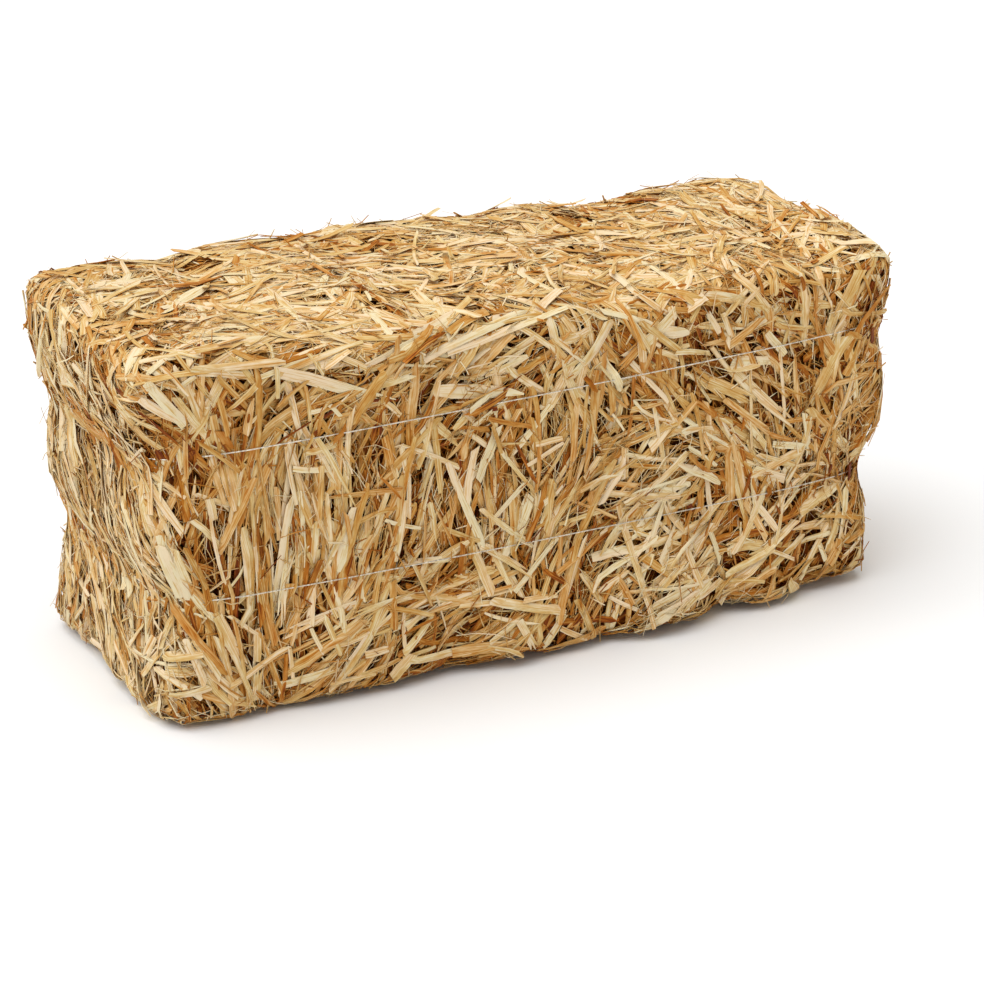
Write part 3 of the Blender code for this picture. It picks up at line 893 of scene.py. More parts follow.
# Straws of the front that catch the eye: place along it and up it, heading, length, width, kind and tone.
standouts = (
    (-220, 217, 0, 62, 3.5, slantCut, 0.25), (-190, 216, -3, 56, 4.5, crowned, 0.1),
    (-152, 216, 9, 60, 3.5, splinter, 0.2), (-197, 207, -14, 36, 4.5, slantCut, 0.12),
    (-135, 188, -22, 82, 7.5, forked, 0.08), (-235, 194, -52, 34, 6, crowned, 0),
    (-240, 190, -33, 26, 5, crowned, 0.05), (-220, 180, -56, 34, 4.5, slantCut, 0.15),
    (-221, 206, 25, 12, 2.5, squareCut, 0.02), (-177, 182, 88, 60, 4.5, gutter, 0.5),
    (-214, 196, 82, 30, 3.5, slantCut, 0.3), (-204, 190, 50, 26, 3.5, slantCut, 0.6),
    (-185, 178, 80, 22, 4.5, pointed, 0.3), (-162, 178, -78, 36, 3.5, slantCut, 0.2),
    (-153, 175, -84, 34, 2.5, crowned, 0.25), (-147, 176, 5, 12, 2.5, squareCut, 0.05),
    (-137, 174, -50, 12, 2.5, slantCut, 0.05), (-131, 142, 84, 74, 3.5, slantCut, 0.1),
    (-153, 145, -9, 21, 3.5, squareCut, 0.02), (-165, 143, -82, 34, 3.5, crowned, 0.2),
    (-160, 114, -87, 36, 2.5, squareCut, 0.03), (-196, 126, 60, 46, 5, crowned, 0.35),
    (-197, 136, 72, 34, 2.5, slantCut, 0.1), (-207, 148, -75, 30, 3.5, crowned, 0.3),
    (-224, 145, 85, 30, 2.5, splinter, 0.35), (-230, 148, -85, 36, 5, gutter, 0.7),
    (-240, 137, -58, 38, 4.5, slantCut, 0.2), (-214, 119, -50, 24, 3.5, slantCut, 0.1),
    (-149, 128, 85, 36, 5, crowned, 0.3), (-137, 148, 84, 34, 7, forked, 0.35),
    (-139, 133, 40, 20, 2.5, slantCut, 0.25), (-184, 120, -88, 32, 3.5, crowned, 0.25),
    (-176, 118, -85, 32, 4.5, slantCut, 0.25), (-170, 120, -88, 32, 3.5, gutter, 0.3),
    (-211, 132, -80, 14, 5, slantCut, 0.2), (-136, 211, 30, 18, 4.5, squareCut, 0.1),
    (-148, 207, -60, 16, 3.5, slantCut, 0.15), (-126, 203, -30, 16, 3.5, squareCut, 0.1),
    (-240, 49, 3, 24, 6, crowned, 0.1), (-242, 38, -2, 22, 6, slantCut, 0.15),
    (-236, 26, 8, 26, 4.5, crowned, 0.2), (-225, 44, -70, 30, 4.5, crowned, 0.2),
    (-216, 44, -62, 30, 4.5, slantCut, 0.15), (-206, 27, -48, 26, 5, slantCut, 0.12),
    (-208, 58, -82, 50, 4.5, gutter, 0.3), (-201, 50, -68, 38, 7, forked, 0.12),
    (-240, 90, -70, 46, 6, crowned, 0.08), (-245, 84, -75, 38, 7, crowned, 0.03),
    (-234, 84, -74, 44, 4.5, slantCut, 0.2), (-182, 84, -88, 56, 2.5, splinter, 0.08),
    (-184, 45, 88, 20, 4.5, squareCut, 0.1), (-183, 33, 24, 42, 3.5, crowned, 0.1),
    (-145, 59, 22, 58, 2.5, blade, 0.18), (-153, 42, -66, 18, 2.5, squareCut, 0.08),
    (-143, 44, -70, 28, 3.5, crowned, 0.15), (-158, 20, 10, 38, 5, slantCut, 0.2),
    (-173, 19, 0, 14, 2.5, squareCut, 0.05), (-185, 22, 82, 20, 5, frayed, 0.15),
    (-170, 30, -86, 24, 2.5, slantCut, 0.2), (-156, 68, 82, 28, 5, slantCut, 0.06),
    (-176, 60, -78, 34, 5, crowned, 0.5), (-163, 96, 88, 32, 3.5, slantCut, 0.2),
    (-153, 95, 86, 36, 4.5, crowned, 0.12), (-170, 98, 88, 28, 3.5, slantCut, 0.25),
    (-139, 96, 64, 34, 3.5, crowned, 0.15), (-130, 50, 30, 26, 2.5, slantCut, 0.15),
    (-125, 34, 50, 20, 3.5, squareCut, 0.08), (-130, 14, 3, 28, 2.5, crowned, 0.1),
    (-197, 74, 35, 18, 3.5, crowned, 0.15), (-193, 58, -42, 26, 2.5, slantCut, 0.2),
    (-100, 210, 20, 54, 3.5, slantCut, 0.08), (-92, 215, 28, 26, 3.5, squareCut, 0.05),
    (-50, 211, 17, 72, 5, crowned, 0.03), (-28, 209, 13, 80, 5, gutter, 0.08),
    (-65, 203, -80, 34, 3.5, slantCut, 0.08), (-56, 197, -45, 14, 2.5, squareCut, 0.03),
    (-100, 190, 8, 28, 7.5, frayed, 0.12), (-87, 173, 88, 44, 6, crowned, 0.35),
    (-90, 156, 86, 14, 5, slantCut, 0.6), (-82, 195, -12, 30, 1.5, slantCut, 0.2),
    (-101, 169, -45, 18, 3.5, slantCut, 0.1), (-48, 172, -7, 56, 8.5, pointed, 0.04),
    (-42, 195, 42, 34, 8.5, slantCut, 0.3), (-14, 170, -37, 44, 4.5, crowned, 0.12),
    (-12, 201, -37, 34, 3.5, slantCut, 0.15), (-79, 151, -73, 25, 4.5, squareCut, 0.03),
    (-71, 140, -84, 48, 4.5, crowned, 0.25), (-57, 105, -68, 62, 5, crowned, 0.05),
    (-76, 140, -27, 50, 3.5, slantCut, 0.2), (-54, 152, -12, 25, 3.5, gutter, 0.6),
    (-53, 158, -50, 16, 3.5, squareCut, 0.1), (-48, 144, -38, 28, 3.5, slantCut, 0.2),
    (-54, 123, 80, 36, 4.5, slantCut, 0.06), (-103, 141, -75, 20, 3.5, squareCut, 0.15),
    (-95, 138, -80, 24, 3.5, slantCut, 0.2), (-109, 117, 68, 32, 3.5, slantCut, 0.12),
    (-98, 117, 86, 30, 4.5, crowned, 0.25), (-92, 120, 88, 32, 3.5, slantCut, 0.2),
    (-77, 118, 72, 24, 2.5, slantCut, 0.12), (-14, 145, 48, 37, 3.5, squareCut, 0.06),
    (-28, 150, 55, 24, 3.5, slantCut, 0.3), (-37, 154, 88, 24, 2.5, crowned, 0.2),
    (-24, 121, -52, 42, 2.5, slantCut, 0.12), (-6, 129, 24, 26, 2.5, squareCut, 0.05),
    (-3, 137, 3, 18, 3.5, squareCut, 0.1), (-22, 197, 30, 22, 4.5, slantCut, 0.2),
    (-47, 66, -70, 34, 6, crowned, 0.12), (-36, 66, -66, 36, 3.5, slantCut, 0.2),
    (-30, 70, -38, 40, 5, forked, 0.1), (-30, 87, -40, 46, 3.5, crowned, 0.2),
    (-28, 104, 42, 27, 3.5, squareCut, 0.08), (0, 103, 38, 18, 3.5, slantCut, 0.08),
    (-10, 64, 41, 42, 3.5, squareCut, 0.06), (-60, 86, -25, 28, 3.5, slantCut, 0.25),
    (-74, 97, -80, 30, 3.5, slantCut, 0.15), (-96, 101, -23, 26, 2.5, squareCut, 0.04),
    (-113, 100, 62, 38, 4.5, slantCut, 0.12), (-98, 97, 84, 38, 4.5, crowned, 0.2),
    (-101, 71, -5, 22, 3.5, slantCut, 0.12), (-86, 72, 4, 14, 3.5, slantCut, 0.55),
    (-77, 75, -7, 32, 3.5, squareCut, 0.06), (-113, 52, 62, 46, 4.5, crowned, 0.15),
    (-102, 55, 88, 30, 5, gutter, 0.45), (-96, 37, -88, 26, 2.5, squareCut, 0.08),
    (-88, 43, 35, 16, 3.5, slantCut, 0.1), (-86, 33, 42, 28, 4.5, crowned, 0.15),
    (-68, 40, -75, 30, 1.5, splinter, 0.03), (-85, 22, 3, 24, 2.5, squareCut, 0.1),
    (-75, 17, -3, 34, 4.5, crowned, 0.2), (-98, 16, 45, 20, 7, slantCut, 0.12),
    (-114, 28, 0, 16, 4.5, squareCut, 0.12), (-112, 18, 12, 30, 4.5, slantCut, 0.25),
    (-50, 45, -3, 28, 3.5, slantCut, 0.1), (-18, 39, -17, 52, 6, crowned, 0.1),
    (-30, 32, -18, 36, 2.5, blade, 0.03), (-8, 43, -5, 28, 3.5, slantCut, 0.1),
    (-47, 28, 28, 24, 3.5, slantCut, 0.25), (-35, 26, 32, 24, 3.5, crowned, 0.2),
    (-45, 15, 12, 34, 2.5, crowned, 0.3), (-20, 20, -62, 24, 5, frayed, 0.2),
    (0, 18, 58, 26, 4.5, slantCut, 0.12), (26, 202, -78, 30, 3.5, slantCut, 0.1),
    (10, 189, -40, 30, 4.5, slantCut, 0.1), (12, 178, 25, 22, 3.5, slantCut, 0.12),
    (28, 184, 48, 44, 7, crowned, 0.18), (20, 168, 80, 18, 5, squareCut, 0.1),
    (52, 200, -58, 46, 3.5, slantCut, 0.15), (47, 204, -60, 40, 2.5, gutter, 0.45),
    (73, 186, -38, 38, 4.5, crowned, 0.25), (78, 175, -25, 20, 3.5, slantCut, 0.1),
    (98, 173, -12, 30, 3.5, slantCut, 0.15), (63, 164, -48, 44, 3.5, crowned, 0.08),
    (82, 138, -60, 28, 3.5, slantCut, 0.1), (81, 133, -42, 32, 2.5, slantCut, 0.2),
    (59, 180, -80, 16, 5, squareCut, 0.1), (80, 197, -86, 16, 3.5, squareCut, 0.1),
    (113, 205, -6, 28, 2.5, slantCut, 0.12), (114, 188, -60, 16, 3.5, squareCut, 0.04),
    (99, 213, 25, 16, 6, slantCut, 0.05), (95, 127, 8, 13, 5, squareCut, 0.05),
    (122, 146, -28, 36, 7.5, forked, 0.25), (103, 128, -78, 44, 3.5, gutter, 0.4),
    (112, 126, -80, 34, 3.5, slantCut, 0.3), (40, 157, -85, 24, 4.5, slantCut, 0.45),
    (28, 137, 77, 50, 5, crowned, 0.35), (16, 152, 78, 26, 4.5, slantCut, 0.3),
    (42, 142, -55, 18, 1.5, squareCut, 0.02), (65, 147, 5, 26, 3.5, slantCut, 0.3),
    (66, 130, 15, 36, 3.5, crowned, 0.25), (67, 136, 20, 10, 4.5, slantCut, 0.55),
    (47, 113, -88, 22, 4.5, slantCut, 0.12), (28, 115, 45, 18, 3.5, slantCut, 0.12),
    (70, 113, -14, 46, 3.5, crowned, 0.2), (74, 107, -13, 46, 3.5, gutter, 0.38),
    (20, 72, 66, 104, 5, gutter, 0.38), (15, 50, 62, 56, 3.5, crowned, 0.1),
    (60, 90, -10, 56, 5, crowned, 0.1), (56, 97, -14, 30, 3.5, slantCut, 0.35),
    (76, 91, -28, 17, 5, squareCut, 0.02), (52, 77, -58, 30, 3.5, slantCut, 0.25),
    (62, 79, -50, 30, 4.5, crowned, 0.25), (71, 80, -38, 28, 4.5, slantCut, 0.25),
    (76, 64, 9, 62, 5, crowned, 0.12), (38, 59, 5, 24, 6, squareCut, 0.02),
    (53, 50, -73, 86, 4.5, crowned, 0.1), (81, 42, 35, 30, 5, slantCut, 0.12),
    (96, 42, -72, 28, 4.5, crowned, 0.1), (109, 59, 40, 26, 4.5, slantCut, 0.1),
    (107, 47, 30, 20, 4.5, squareCut, 0.1), (109, 39, 30, 18, 3.5, slantCut, 0.15),
    (120, 50, -72, 24, 5, slantCut, 0.05), (80, 28, 18, 36, 6, slantCut, 0.2),
    (82, 22, 18, 32, 3.5, crowned, 0.06), (112, 25, 10, 28, 4.5, slantCut, 0.1),
    (92, 35, -50, 16, 2.5, slantCut, 0.2), (30, 40, -58, 28, 4.5, slantCut, 0.14),
    (46, 26, -28, 24, 2.5, squareCut, 0.08), (17, 12, -32, 27, 3.5, squareCut, 0.08),
    (26, 20, -65, 34, 4.5, crowned, 0.25), (44, 36, -60, 26, 6, slantCut, 0.45),
    (60, 35, -45, 26, 2.5, gutter, 0.4), (68, 48, -40, 26, 5, slantCut, 0.4),
    (113, 84, -78, 34, 4.5, slantCut, 0.06), (124, 92, -85, 36, 6, crowned, 0.35),
    (7, 77, 42, 22, 3.5, slantCut, 0.14), (138, 204, -52, 42, 5, crowned, 0.1),
    (148, 183, -76, 20, 5, slantCut, 0.35), (174, 192, -82, 36, 5, slantCut, 0.1),
    (156, 169, -47, 21, 5, squareCut, 0.01), (168, 176, -14, 32, 3.5, crowned, 0.25),
    (137, 163, -6, 27, 6, slantCut, 0), (146, 137, -43, 60, 7, forked, 0.1),
    (140, 117, -50, 30, 4.5, slantCut, 0.1), (135, 127, -38, 42, 4.5, crowned, 0.35),
    (193, 150, 55, 50, 7.5, crowned, 0.28), (207, 195, 60, 36, 7.5, slantCut, 0.25),
    (193, 203, -58, 36, 2.5, slantCut, 0.1), (207, 186, -45, 26, 3.5, slantCut, 0.15),
    (217, 135, -80, 56, 3.5, slantCut, 0.15), (181, 108, -75, 34, 4.5, slantCut, 0.08),
    (194, 143, 55, 22, 7, slantCut, 0.5), (130, 179, 38, 28, 4.5, slantCut, 0.35),
    (130, 94, -75, 46, 5, crowned, 0.3), (143, 62, -62, 32, 5, slantCut, 0.3),
    (153, 87, -22, 28, 7, slantCut, 0.08), (160, 94, -22, 36, 4.5, crowned, 0.1),
    (166, 104, -12, 25, 4.5, squareCut, 0.06), (184, 86, -6, 34, 3.5, slantCut, 0.1),
    (172, 71, 35, 20, 3.5, slantCut, 0.2), (196, 68, 22, 44, 7.5, crowned, 0.12),
    (162, 49, 30, 33, 5, slantCut, 0.1), (135, 36, 22, 36, 4.5, crowned, 0.14),
    (149, 65, -55, 27, 4.5, squareCut, 0.06), (165, 35, -28, 24, 2.5, slantCut, 0.1),
    (191, 39, 12, 20, 3.5, squareCut, 0.1), (198, 52, 38, 30, 1.5, slantCut, 0.1),
    (214, 52, 82, 38, 4.5, crowned, 0.2), (206, 28, 60, 20, 7, slantCut, 0.35),
    (195, 28, -70, 12, 3.5, squareCut, 0.03), (196, 108, 80, 24, 2.5, slantCut, 0.15),
)

press = {
    "top": -0.4 * mm,  # how close to the CAD's surface the pile is pressed
    "bottomTop": -0.3 * mm,
    "unevenness": 0.6 * mm,
    "softness": 0.8 * mm,
    "flex": 0.4,
    "diveShare": 0.5, "dive": (1.0, 4.5),
    "liftShare": 0.09, "lift": (2.0, 6.0),
    "depthShade": 0.05,  # painted shade: how much browner a straw is for each millimetre that it lies deeper
    "patchShade": 0.05,  # and the same painted shade for each millimetre of a patch
    "curl": 0.035,  # radians at each station
    "kinkShare": 0.22, "kink": 0.5,
    "roll": 17, "twist": 24,  # degrees
    "overWire": 0.05,  # share of straws that were pushed in over a wire
    "overWireAtCorner": 0.65,
    "cornerReach": 42 * mm,
    "underside": -0.6,  # a normal that points further down than this belongs to the underside
}
tidyLay = {
    "thickness": 0.4 * mm,
    "curl": 0.02,
    "dive": 0.4,  # shares of what a scattered straw does
    "turn": 0.8,
    "paleLift": 0.9,  # millimetres that the palest ones lie over the brownest ones
}
scattering = {
    "lengthBias": (1.6, 2.2),  # beta curves that favour the short and the narrow ones
    "widthBias": (1.3, 2.4),
    "spreads": (8, 24), "stretch": (1.35, 0.95),  # where the straws lie alike, they are longer
    "crossing": 0.3,  # share of its length, each way, at which a straw is tested for a patch
}
stemWidth = (2.6, 3.4)
topReach = 25 * mm  # the pile of the top goes down to here, below the highest lump
stations = 9
middleStation = stations // 2
steps = np.linspace(0, 1, stations)
pairs = [(i, j) for i in range(middleStation + 1) for j in range(middleStation, stations) if i < j]
pairFirst, pairLast = (np.array(column) for column in zip(*pairs))
pairShare = (middleStation - pairFirst) / (pairLast - pairFirst)


def pathOver(middle, heading, length, curl, kink, kinkAt):
    # walks both ways from the middle over the skin, and returns the places and the outward normals
    halves = []
    stride = length / (stations - 1)
    for way in (-1, 1):
        place, course, half = middle, heading * way, []
        for step in range(1, middleStation + 1):
            spot, normal, _, _ = skinTree.find_nearest(place + course * stride)
            move = spot - place
            course = (move - normal * move.dot(normal)).normalized()
            turn = curl + (kink if way * step == kinkAt else 0)
            course = (course + normal.cross(course) * turn * way).normalized()
            place = spot
            half.append((spot, normal))
        halves.append(half)
    _, first, _, _ = skinTree.find_nearest(middle)
    ordered = halves[0][::-1] + [(middle, first)] + halves[1]
    places = np.array([item[0] for item in ordered])
    normals = np.array([item[1] for item in ordered])
    eased = normals.copy()
    eased[1:-1] += normals[:-2] + normals[2:]
    eased[0] += normals[1]
    eased[-1] += normals[-2]
    return places, eased / np.linalg.norm(eased, axis=1)[:, None]


def restOnPile(under, length):
    # a stiff straw touches the pile at two humps, one to each side of its middle, and sags a little
    bridge = under[pairFirst] * (1 - pairShare) + under[pairLast] * pairShare
    best = bridge.argmax()
    slope = (under[pairLast[best]] - under[pairFirst[best]]) / (pairLast[best] - pairFirst[best])
    limit = pile["slope"] * length / (stations - 1)
    slope = min(limit, max(-limit, slope))
    lies = bridge[best] + slope * (np.arange(stations) - middleStation)
    eased = under.copy()
    eased[1:-1] = (under[:-2] + 2 * under[1:-1] + under[2:]) / 4
    return lies + press["flex"] * (eased - lies)


def layStraw(places, normals, width, thickness, overWire, dive, lift, top):
    # rests a straw on the pile, presses it, and records the new height of the pile
    sideways = np.cross(normals, np.gradient(places, axis=0))
    sideways /= np.linalg.norm(sideways, axis=1)[:, None]
    length = np.linalg.norm(np.diff(places, axis=0), axis=1).sum()
    lanes = np.linspace(-0.4, 0.4, max(2, int(width / pile["cell"]) + 1)) * width
    spread = places[:, None] + sideways[:, None] * lanes[None, :, None]
    lies = restOnPile(height[cellOf(spread)].max(1), length) + thickness / 2
    soft = press["softness"]
    lies = top - soft * np.logaddexp(0, (top - lies) / soft)
    lies -= abs(dive) * (steps if dive > 0 else 1 - steps) ** 3
    lies += abs(lift) * (steps if lift > 0 else 1 - steps) ** 2

    fine = np.linspace(0, 1, max(3, int(length / (pile["cell"] * 0.8))))
    at = fine * (stations - 1)
    low = at.astype(int).clip(0, stations - 2)
    share = (at - low)[:, None]
    base = places[low] * (1 - share) + places[low + 1] * share
    held = ceiling[cellOf(base)]
    if overWire:
        lies = np.maximum(lies, np.interp(steps, fine, np.where(held < 1, held + 2 * mm, -1)))
    else:
        for _ in range(3):
            over = np.interp(fine, steps, lies) + thickness / 2 - held
            worst = over.argmax()
            if over[worst] <= 0:
                break
            lies -= over[worst] * np.exp(-(((steps - fine[worst]) * length / pile["bend"]) ** 2)) * 1.15
    side = sideways[low] * (1 - share) + sideways[low + 1] * share
    wide = cellOf(base[:, None] + side[:, None] * lanes[None, :, None])
    risen = np.interp(fine, steps, lies)[:, None] + thickness / 2
    height[wide] = np.maximum(height[wide], risen)
    return places + normals * lies[:, None]


def bentShapes(shape, straws):
    # copies of one shape, bent along their straws' middle lines: corners and map places
    points = shape["points"]
    names = (
        "middle", "normals", "width", "thickness", "length",
        "roll", "twist", "row", "start", "offset", "flip",
    )
    columns = [np.array([straw[name] for straw in straws]) for name in names]
    middles, normals, *columns = columns
    width, depth, length, roll, twist, row, start, offset, flip = (column[:, None] for column in columns)
    forward = np.gradient(middles, axis=1)
    forward /= np.linalg.norm(forward, axis=2)[:, :, None]
    sideways = np.cross(normals, forward)
    sideways /= np.linalg.norm(sideways, axis=2)[:, :, None]
    upward = np.cross(forward, sideways)
    at = points[:, 0].clip(0, 1) * (stations - 1)
    low = at.astype(int).clip(0, stations - 2)
    share = (at - low)[None, :, None]

    def along(values):
        return values[:, low] * (1 - share) + values[:, low + 1] * share

    turn = (roll + twist * (points[:, 0][None] - 0.5))[:, :, None]
    side, up = along(sideways), along(upward)
    side, up = side * np.cos(turn) + up * np.sin(turn), up * np.cos(turn) - side * np.sin(turn)
    across, over = points[None, :, 1:2], points[None, :, 2:3]
    corners = along(middles) + side * across * width[:, :, None] + up * over * depth[:, :, None]

    look = strawFinish
    places = shape["map"]
    wide = np.minimum(width / mm / look["rowHeight"], 0.9)
    lengthwise = np.where(flip, 1 - places[:, 0][None], places[:, 0][None])
    reach = np.minimum(length / mm / look["rowLength"], 1)
    mapX = start * (1 - reach) + lengthwise * reach
    mapY = (row + 0.04 + offset * (0.92 - wide) + places[:, 1][None] * wide) / look["rows"]
    return corners, np.stack([mapX, mapY], 2)


def bedOf(name):
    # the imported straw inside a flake: its solid, drawn in and roughened
    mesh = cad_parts[name].data.copy()
    bed = bpy.data.objects.new("bed", mesh)
    bpy.context.collection.objects.link(bed)
    selectOnly(bed)
    weld(cuts=1)
    for vertex in mesh.vertices:
        spot, normal, _, away = skinTree.find_nearest(vertex.co)
        rough = noise.noise(vertex.co / pile["bedGrain"]) * pile["bedRoughness"] * 2
        depth = pile["bedDepth"] + (pile["topBedDepth"] - pile["bedDepth"]) * max(0, normal.z) + rough
        if away < depth:
            vertex.co = spot - normal * depth
    points = pointsOf(mesh)
    edges, loops, starts, sizes = facesOf(mesh)
    # each face shows its own patch of a brown row, painted shade of the depths, so that it looks like crossed
    # shreds
    look = strawFinish
    owner = np.repeat(np.arange(len(starts)), sizes)
    turn = rng.uniform(0, tau, len(starts))[owner]
    row = rng.integers(look["rows"] - look["bedShadeRows"], look["rows"] - 1, len(starts))[owner]
    middle = rng.uniform(0.1, 0.9, len(starts))[owner]
    rank = np.arange(len(owner)) - starts[owner]
    around = turn + rank * tau / 3
    places = np.stack([middle + 0.06 * np.cos(around), (row + 0.5 + 0.4 * np.sin(around)) / look["rows"]], 1)
    discard(bed)
    return points, edges, loops, starts, np.zeros(len(edges), bool), places


def aboveFloor(points):
    # eases whatever would dip under the floor up over it
    low = pile["easeBelow"]
    dips = points[:, 2] < low
    points[dips, 2] = low * np.exp((points[dips, 2] - low) / low)
    return points


def joinedPiece(name, parts, material):
    # one mesh from many bodies
    counts = [[len(part[0]), len(part[1]), len(part[2])] for part in parts]
    firsts = np.cumsum([[0, 0, 0], *counts[:-1]], axis=0)
    points = aboveFloor(np.concatenate([part[0] for part in parts]))
    edges, loops, starts = (
        np.concatenate([part[item] + first[moved] for part, first in zip(parts, firsts)])
        for item, moved in ((1, 0), (2, slice(2)), (3, 2))
    )
    crisp = np.concatenate([part[4] for part in parts])
    places = np.concatenate([part[5] for part in parts])
    mesh = bpy.data.meshes.new(name)
    mesh.vertices.add(len(points))
    mesh.vertices.foreach_set("co", points.ravel())
    mesh.edges.add(len(edges))
    mesh.edges.foreach_set("vertices", edges.ravel())
    mesh.loops.add(len(loops))
    mesh.loops.foreach_set("vertex_index", loops[:, 0].copy())
    mesh.loops.foreach_set("edge_index", loops[:, 1].copy())
    mesh.polygons.add(len(starts))
    mesh.polygons.foreach_set("loop_start", starts)
    mesh.uv_layers.new(name=bakeMap, do_init=False)
    mesh.uv_layers[bakeMap].uv.foreach_set("vector", places.astype(np.float32).ravel())
    sharp = mesh.attributes.new("sharp_edge", "BOOLEAN", "EDGE")
    sharp.data.foreach_set("value", crisp)
    mesh.update()
    mesh.validate()
    mesh.materials.append(material)
    piece = bpy.data.objects.new(name, mesh)
    bpy.context.scene.collection.objects.link(piece)
    mesh.calc_loop_triangles()
    print(name, len(mesh.loop_triangles), "triangles")
    return piece


def copiesOf(shape, straws):
    # the copies as one part: the same edges and faces again and again, each with its own corners
    corners, places = bentShapes(shape, straws)
    count = len(straws)
    order = np.arange(count)[:, None, None]
    edges = (shape["edges"][None] + order * len(shape["points"])).reshape(-1, 2)
    moves = np.array([len(shape["points"]), len(shape["edges"])])
    loops = (shape["loops"][None] + order * moves).reshape(-1, 2)
    starts = (shape["starts"][None] + np.arange(count)[:, None] * len(shape["loops"])).ravel()
    return (
        corners.reshape(-1, 3), edges, loops, starts, np.tile(shape["crisp"], count), places.reshape(-1, 2),
    )


def thicknessOf(kind, width, thickness):
    shares = {crowned: 0.32, gutter: 0.34, blade: 0.2, sheath: 0.16, shred: 0.8, fibre: 0.8, stem: 0.7}
    return shares[kind] * width if kind in shares else thickness


def hidesWire(point):
    # near the upright corners most of the wire is buried, and elsewhere little of it
    fromEnd = min(point[0] - cadLow[0], cadHigh[0] - point[0])
    share = press["overWireAtCorner"] if fromEnd < press["cornerReach"] else press["overWire"]
    return rng.random() < share


def sometimes(share, low, high):
    # now and then a distance, one way or the other
    return rng.uniform(low, high) * mm * rng.choice((-1, 1)) if rng.random() < share else 0


def layOne(kind, flake, side, point, course, length, width, thickness, tone, curl, sunk, tidy=False):
    # one straw on the pile; a tidy one doesn't dive into it, lean off it or turn over
    spot, _, _, _ = skinTree.find_nearest(Vector(point))
    kink = rng.normal(0, press["kink"]) if rng.random() < press["kinkShare"] and not tidy else 0
    kinkAt = rng.choice((-3, -2, -1, 1, 2, 3))
    places, facing = pathOver(spot, Vector(course), length, rng.normal(0, curl), kink, kinkAt)
    dive = sometimes(press["diveShare"], *press["dive"])
    lift = sometimes(press["liftShare"], *press["lift"])
    hollow = max(0, 2 * noise.noise(Vector(point) / clump["hollowSize"])) * clump["hollow"] * side["hollow"]
    level = 1 - side["flatness"]
    top = press["top"] + rng.normal(0, 1) * press["unevenness"] * level - hollow - max(-1.5, sunk) * mm
    dive, turn, thickness = dive * level, level, thickness * (0.6 + 0.4 * level)
    if tidy:
        dive, lift, turn = dive * tidyLay["dive"], 0, turn * tidyLay["turn"]
        top = press["top"] + (tidyLay["paleLift"] - tone) * mm
    if facing[middleStation][2] < press["underside"]:
        lift, top = 0, press["bottomTop"]
    middle = layStraw(places, facing, width, thickness, hidesWire(point), dive, lift, top)
    # painted shade: the deeper a straw lies in the pile, the browner it is drawn
    depth = (places - middle)[middleStation].dot(facing[middleStation])
    # browner in a sunken patch and paler on a bulge: painted shade and painted light
    tone += max(0, depth / mm - 1) * press["depthShade"] * side["toneAndShade"] + sunk * press["patchShade"]
    return {
        "kind": kind, "flake": flake, "middle": middle, "normals": facing, "length": length,
        "width": width, "thickness": thickness,
        "roll": radians(rng.normal(0, press["roll"])) * turn,
        "twist": radians(rng.normal(0, press["twist"])) * turn,
        "row": int(np.clip(tone, 0, 0.999) * strawFinish["rows"]),
        "start": rng.random(), "offset": rng.random(), "flip": rng.random() < 0.5,
    }


def scatter(perSquareDm):
    # random places over the outside of the bale: the flake, the place and the way out for each
    seeds = []
    for index, name in enumerate(flakes):
        corners, normals, area = faces[name]
        weight = area * np.array([lie[side]["fullness"] for side in sideOf(normals)])
        count = int(weight.sum() / squareDm * perSquareDm)
        chosen = rng.choice(len(area), count, p=weight / weight.sum())
        first, second = rng.random((2, count))
        folded = first + second > 1
        first[folded], second[folded] = 1 - first[folded], 1 - second[folded]
        a, b, c = corners[chosen].transpose(1, 0, 2)
        points = a + (b - a) * first[:, None] + (c - a) * second[:, None]
        seeds.append((np.full(count, index), points, normals[chosen]))
    owner, points, normals = (np.concatenate(column) for column in zip(*seeds))
    order = rng.permutation(len(owner))
    return owner[order], points[order], normals[order]


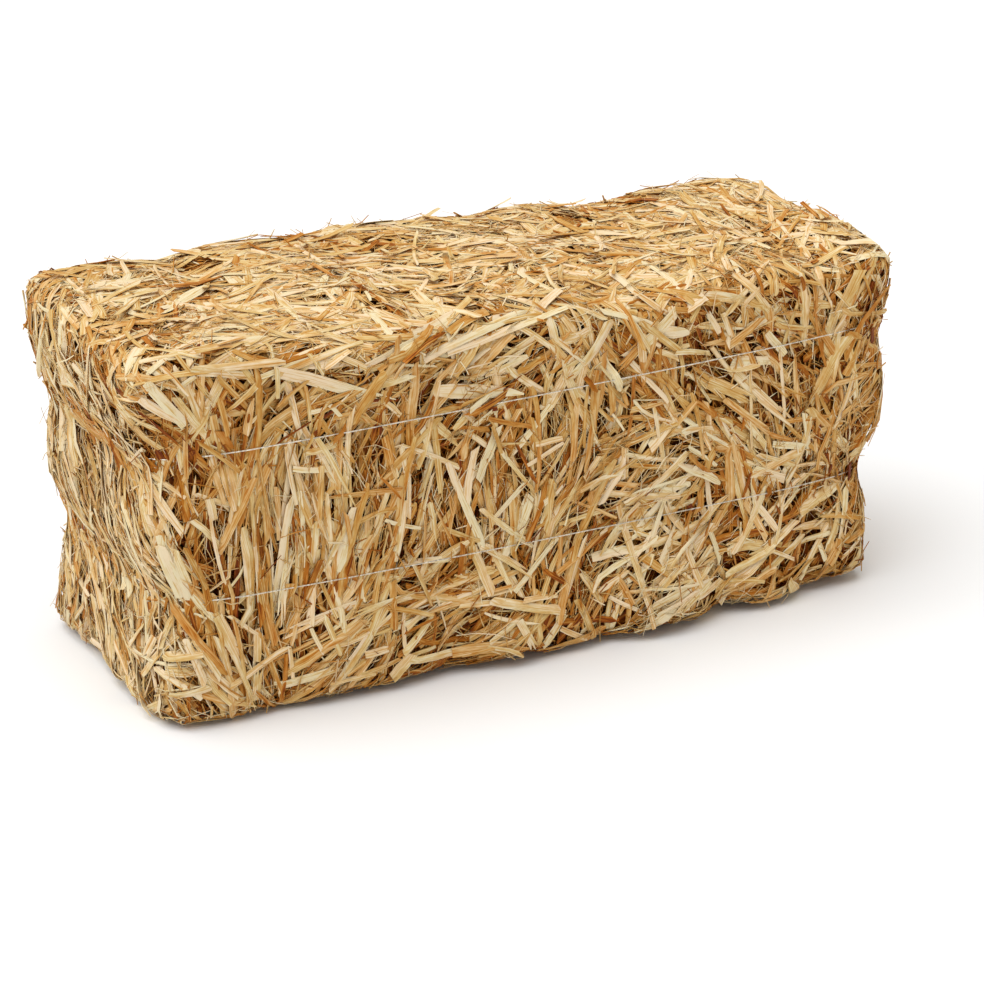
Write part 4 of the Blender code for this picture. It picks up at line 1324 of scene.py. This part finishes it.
def layLayer(layer):
    owner, points, normals = scatter(layer["perSquareDm"])
    count = len(points)
    courses, spreads = headings(points, normals, layer["anyhow"])
    sides = sideOf(normals)
    fineness = np.array([lie[side]["fineness"] for side in sides])
    kinds = list(layer["kinds"])
    chosen = rng.choice(len(kinds), count, p=list(layer["kinds"].values()))
    shortest, longest = layer["length"]
    narrowest, widest = layer["width"]
    rule = scattering
    lengths = (shortest + rng.beta(*rule["lengthBias"], count) * (longest - shortest)) * mm * fineness
    lengths *= np.interp(spreads, rule["spreads"], rule["stretch"])
    widths = (narrowest + rng.beta(*rule["widthBias"], count) * (widest - narrowest)) * mm * fineness
    tones = rng.uniform(*layer["tones"], count)
    sunk = sinking(points)
    reach = courses * lengths[:, None] * rule["crossing"]
    deepest = np.maximum(sunk, np.maximum(sinking(points + reach), sinking(points - reach)))
    gone = rng.random(count)
    laid = []
    for index, point in enumerate(points):
        side = lie[sides[index]]
        if layer.get("leavesHoles"):
            thin = noise.noise(Vector(point) / clump["size"]) < clump["bare"]
            if deepest[index] > clump["deep"] and gone[index] < clump["deepShare"]:
                continue
            if thin and gone[index] < side["bareShare"]:
                continue
        kind = kinds[chosen[index]]
        width = rng.uniform(*stemWidth) * mm if kind is stem else widths[index]
        depth = thicknessOf(kind, width, layer["thickness"] * mm)
        tone = tones[index] * side["innerTone" if layer.get("inner") else "toneAndShade"]
        curl = layer.get("curl", press["curl"])
        laid.append(layOne(
            kind, owner[index], side, point, courses[index], lengths[index], width, depth, tone, curl,
            sunk[index],
        ))
    piledUp = float(np.median(height[height > bare])) / mm
    print(layer["name"], len(laid), "straws, pile at", round(piledUp, 2), "mm")
    return laid


def layStandouts():
    laid = []
    side = lie["front"]
    for along, up, heading, length, width, kind, tone in standouts:
        point = placeOn(side, along, up)
        owner = min(range(len(flakes)), key=lambda index: abs(flakeMiddles[index] - point[0]))
        depth = thicknessOf(kind, width * mm, tidyLay["thickness"])
        laid.append(layOne(
            kind, owner, side, point, courseOn(side, heading), length * mm, width * mm, depth, tone,
            tidyLay["curl"], 0, tidy=True,
        ))
    return laid


setUpStudio()
print("studio ready")
skinTree = makeSkin()
gridLow = np.array(cadLow) - pile["room"]
gridSize = ((np.array(cadHigh) + pile["room"] - gridLow) / pile["cell"]).astype(int) + 1
height = np.full(gridSize, -pile["bedDepth"], np.float32)
topCells = cellOf(np.array(cadHigh) - topReach)[2]
height[:, :, topCells:] = -pile["topBedDepth"]
bare = height.copy()
ceiling = np.full(gridSize, 1.0, np.float32)
holdUnderWires()
print("skin and wires read")

faces = {name: outerFaces(name) for name in flakes}
flakeMiddles = [(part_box(name)[0][0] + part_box(name)[1][0]) / 2 for name in flakes]
straws = []
for layer in layers:
    if layer["name"] == "chips":
        straws += layStandouts()
    straws += layLayer(layer)

kindsUsed = []
for straw in straws:
    if straw["kind"] not in kindsUsed:
        kindsUsed.append(straw["kind"])
shapes = {kind: readShape(kind) for kind in kindsUsed}
for kind in kindsUsed:
    print(kind.__name__, shapes[kind]["triangles"], "triangles each")

straw = strawMaterial()
for index, name in enumerate(flakes):
    own = [item for item in straws if item["flake"] == index]
    parts = [bedOf(name)]
    for kind in kindsUsed:
        same = [item for item in own if item["kind"] is kind]
        if same:
            parts.append(copiesOf(shapes[kind], same))
    piece = joinedPiece(name + "_straw", parts, straw)
    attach(piece, "root")
    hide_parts(name)

steel = wireMaterial()
for name in wires:
    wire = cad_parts[name]
    wire.data.materials.clear()
    wire.data.materials.append(steel)
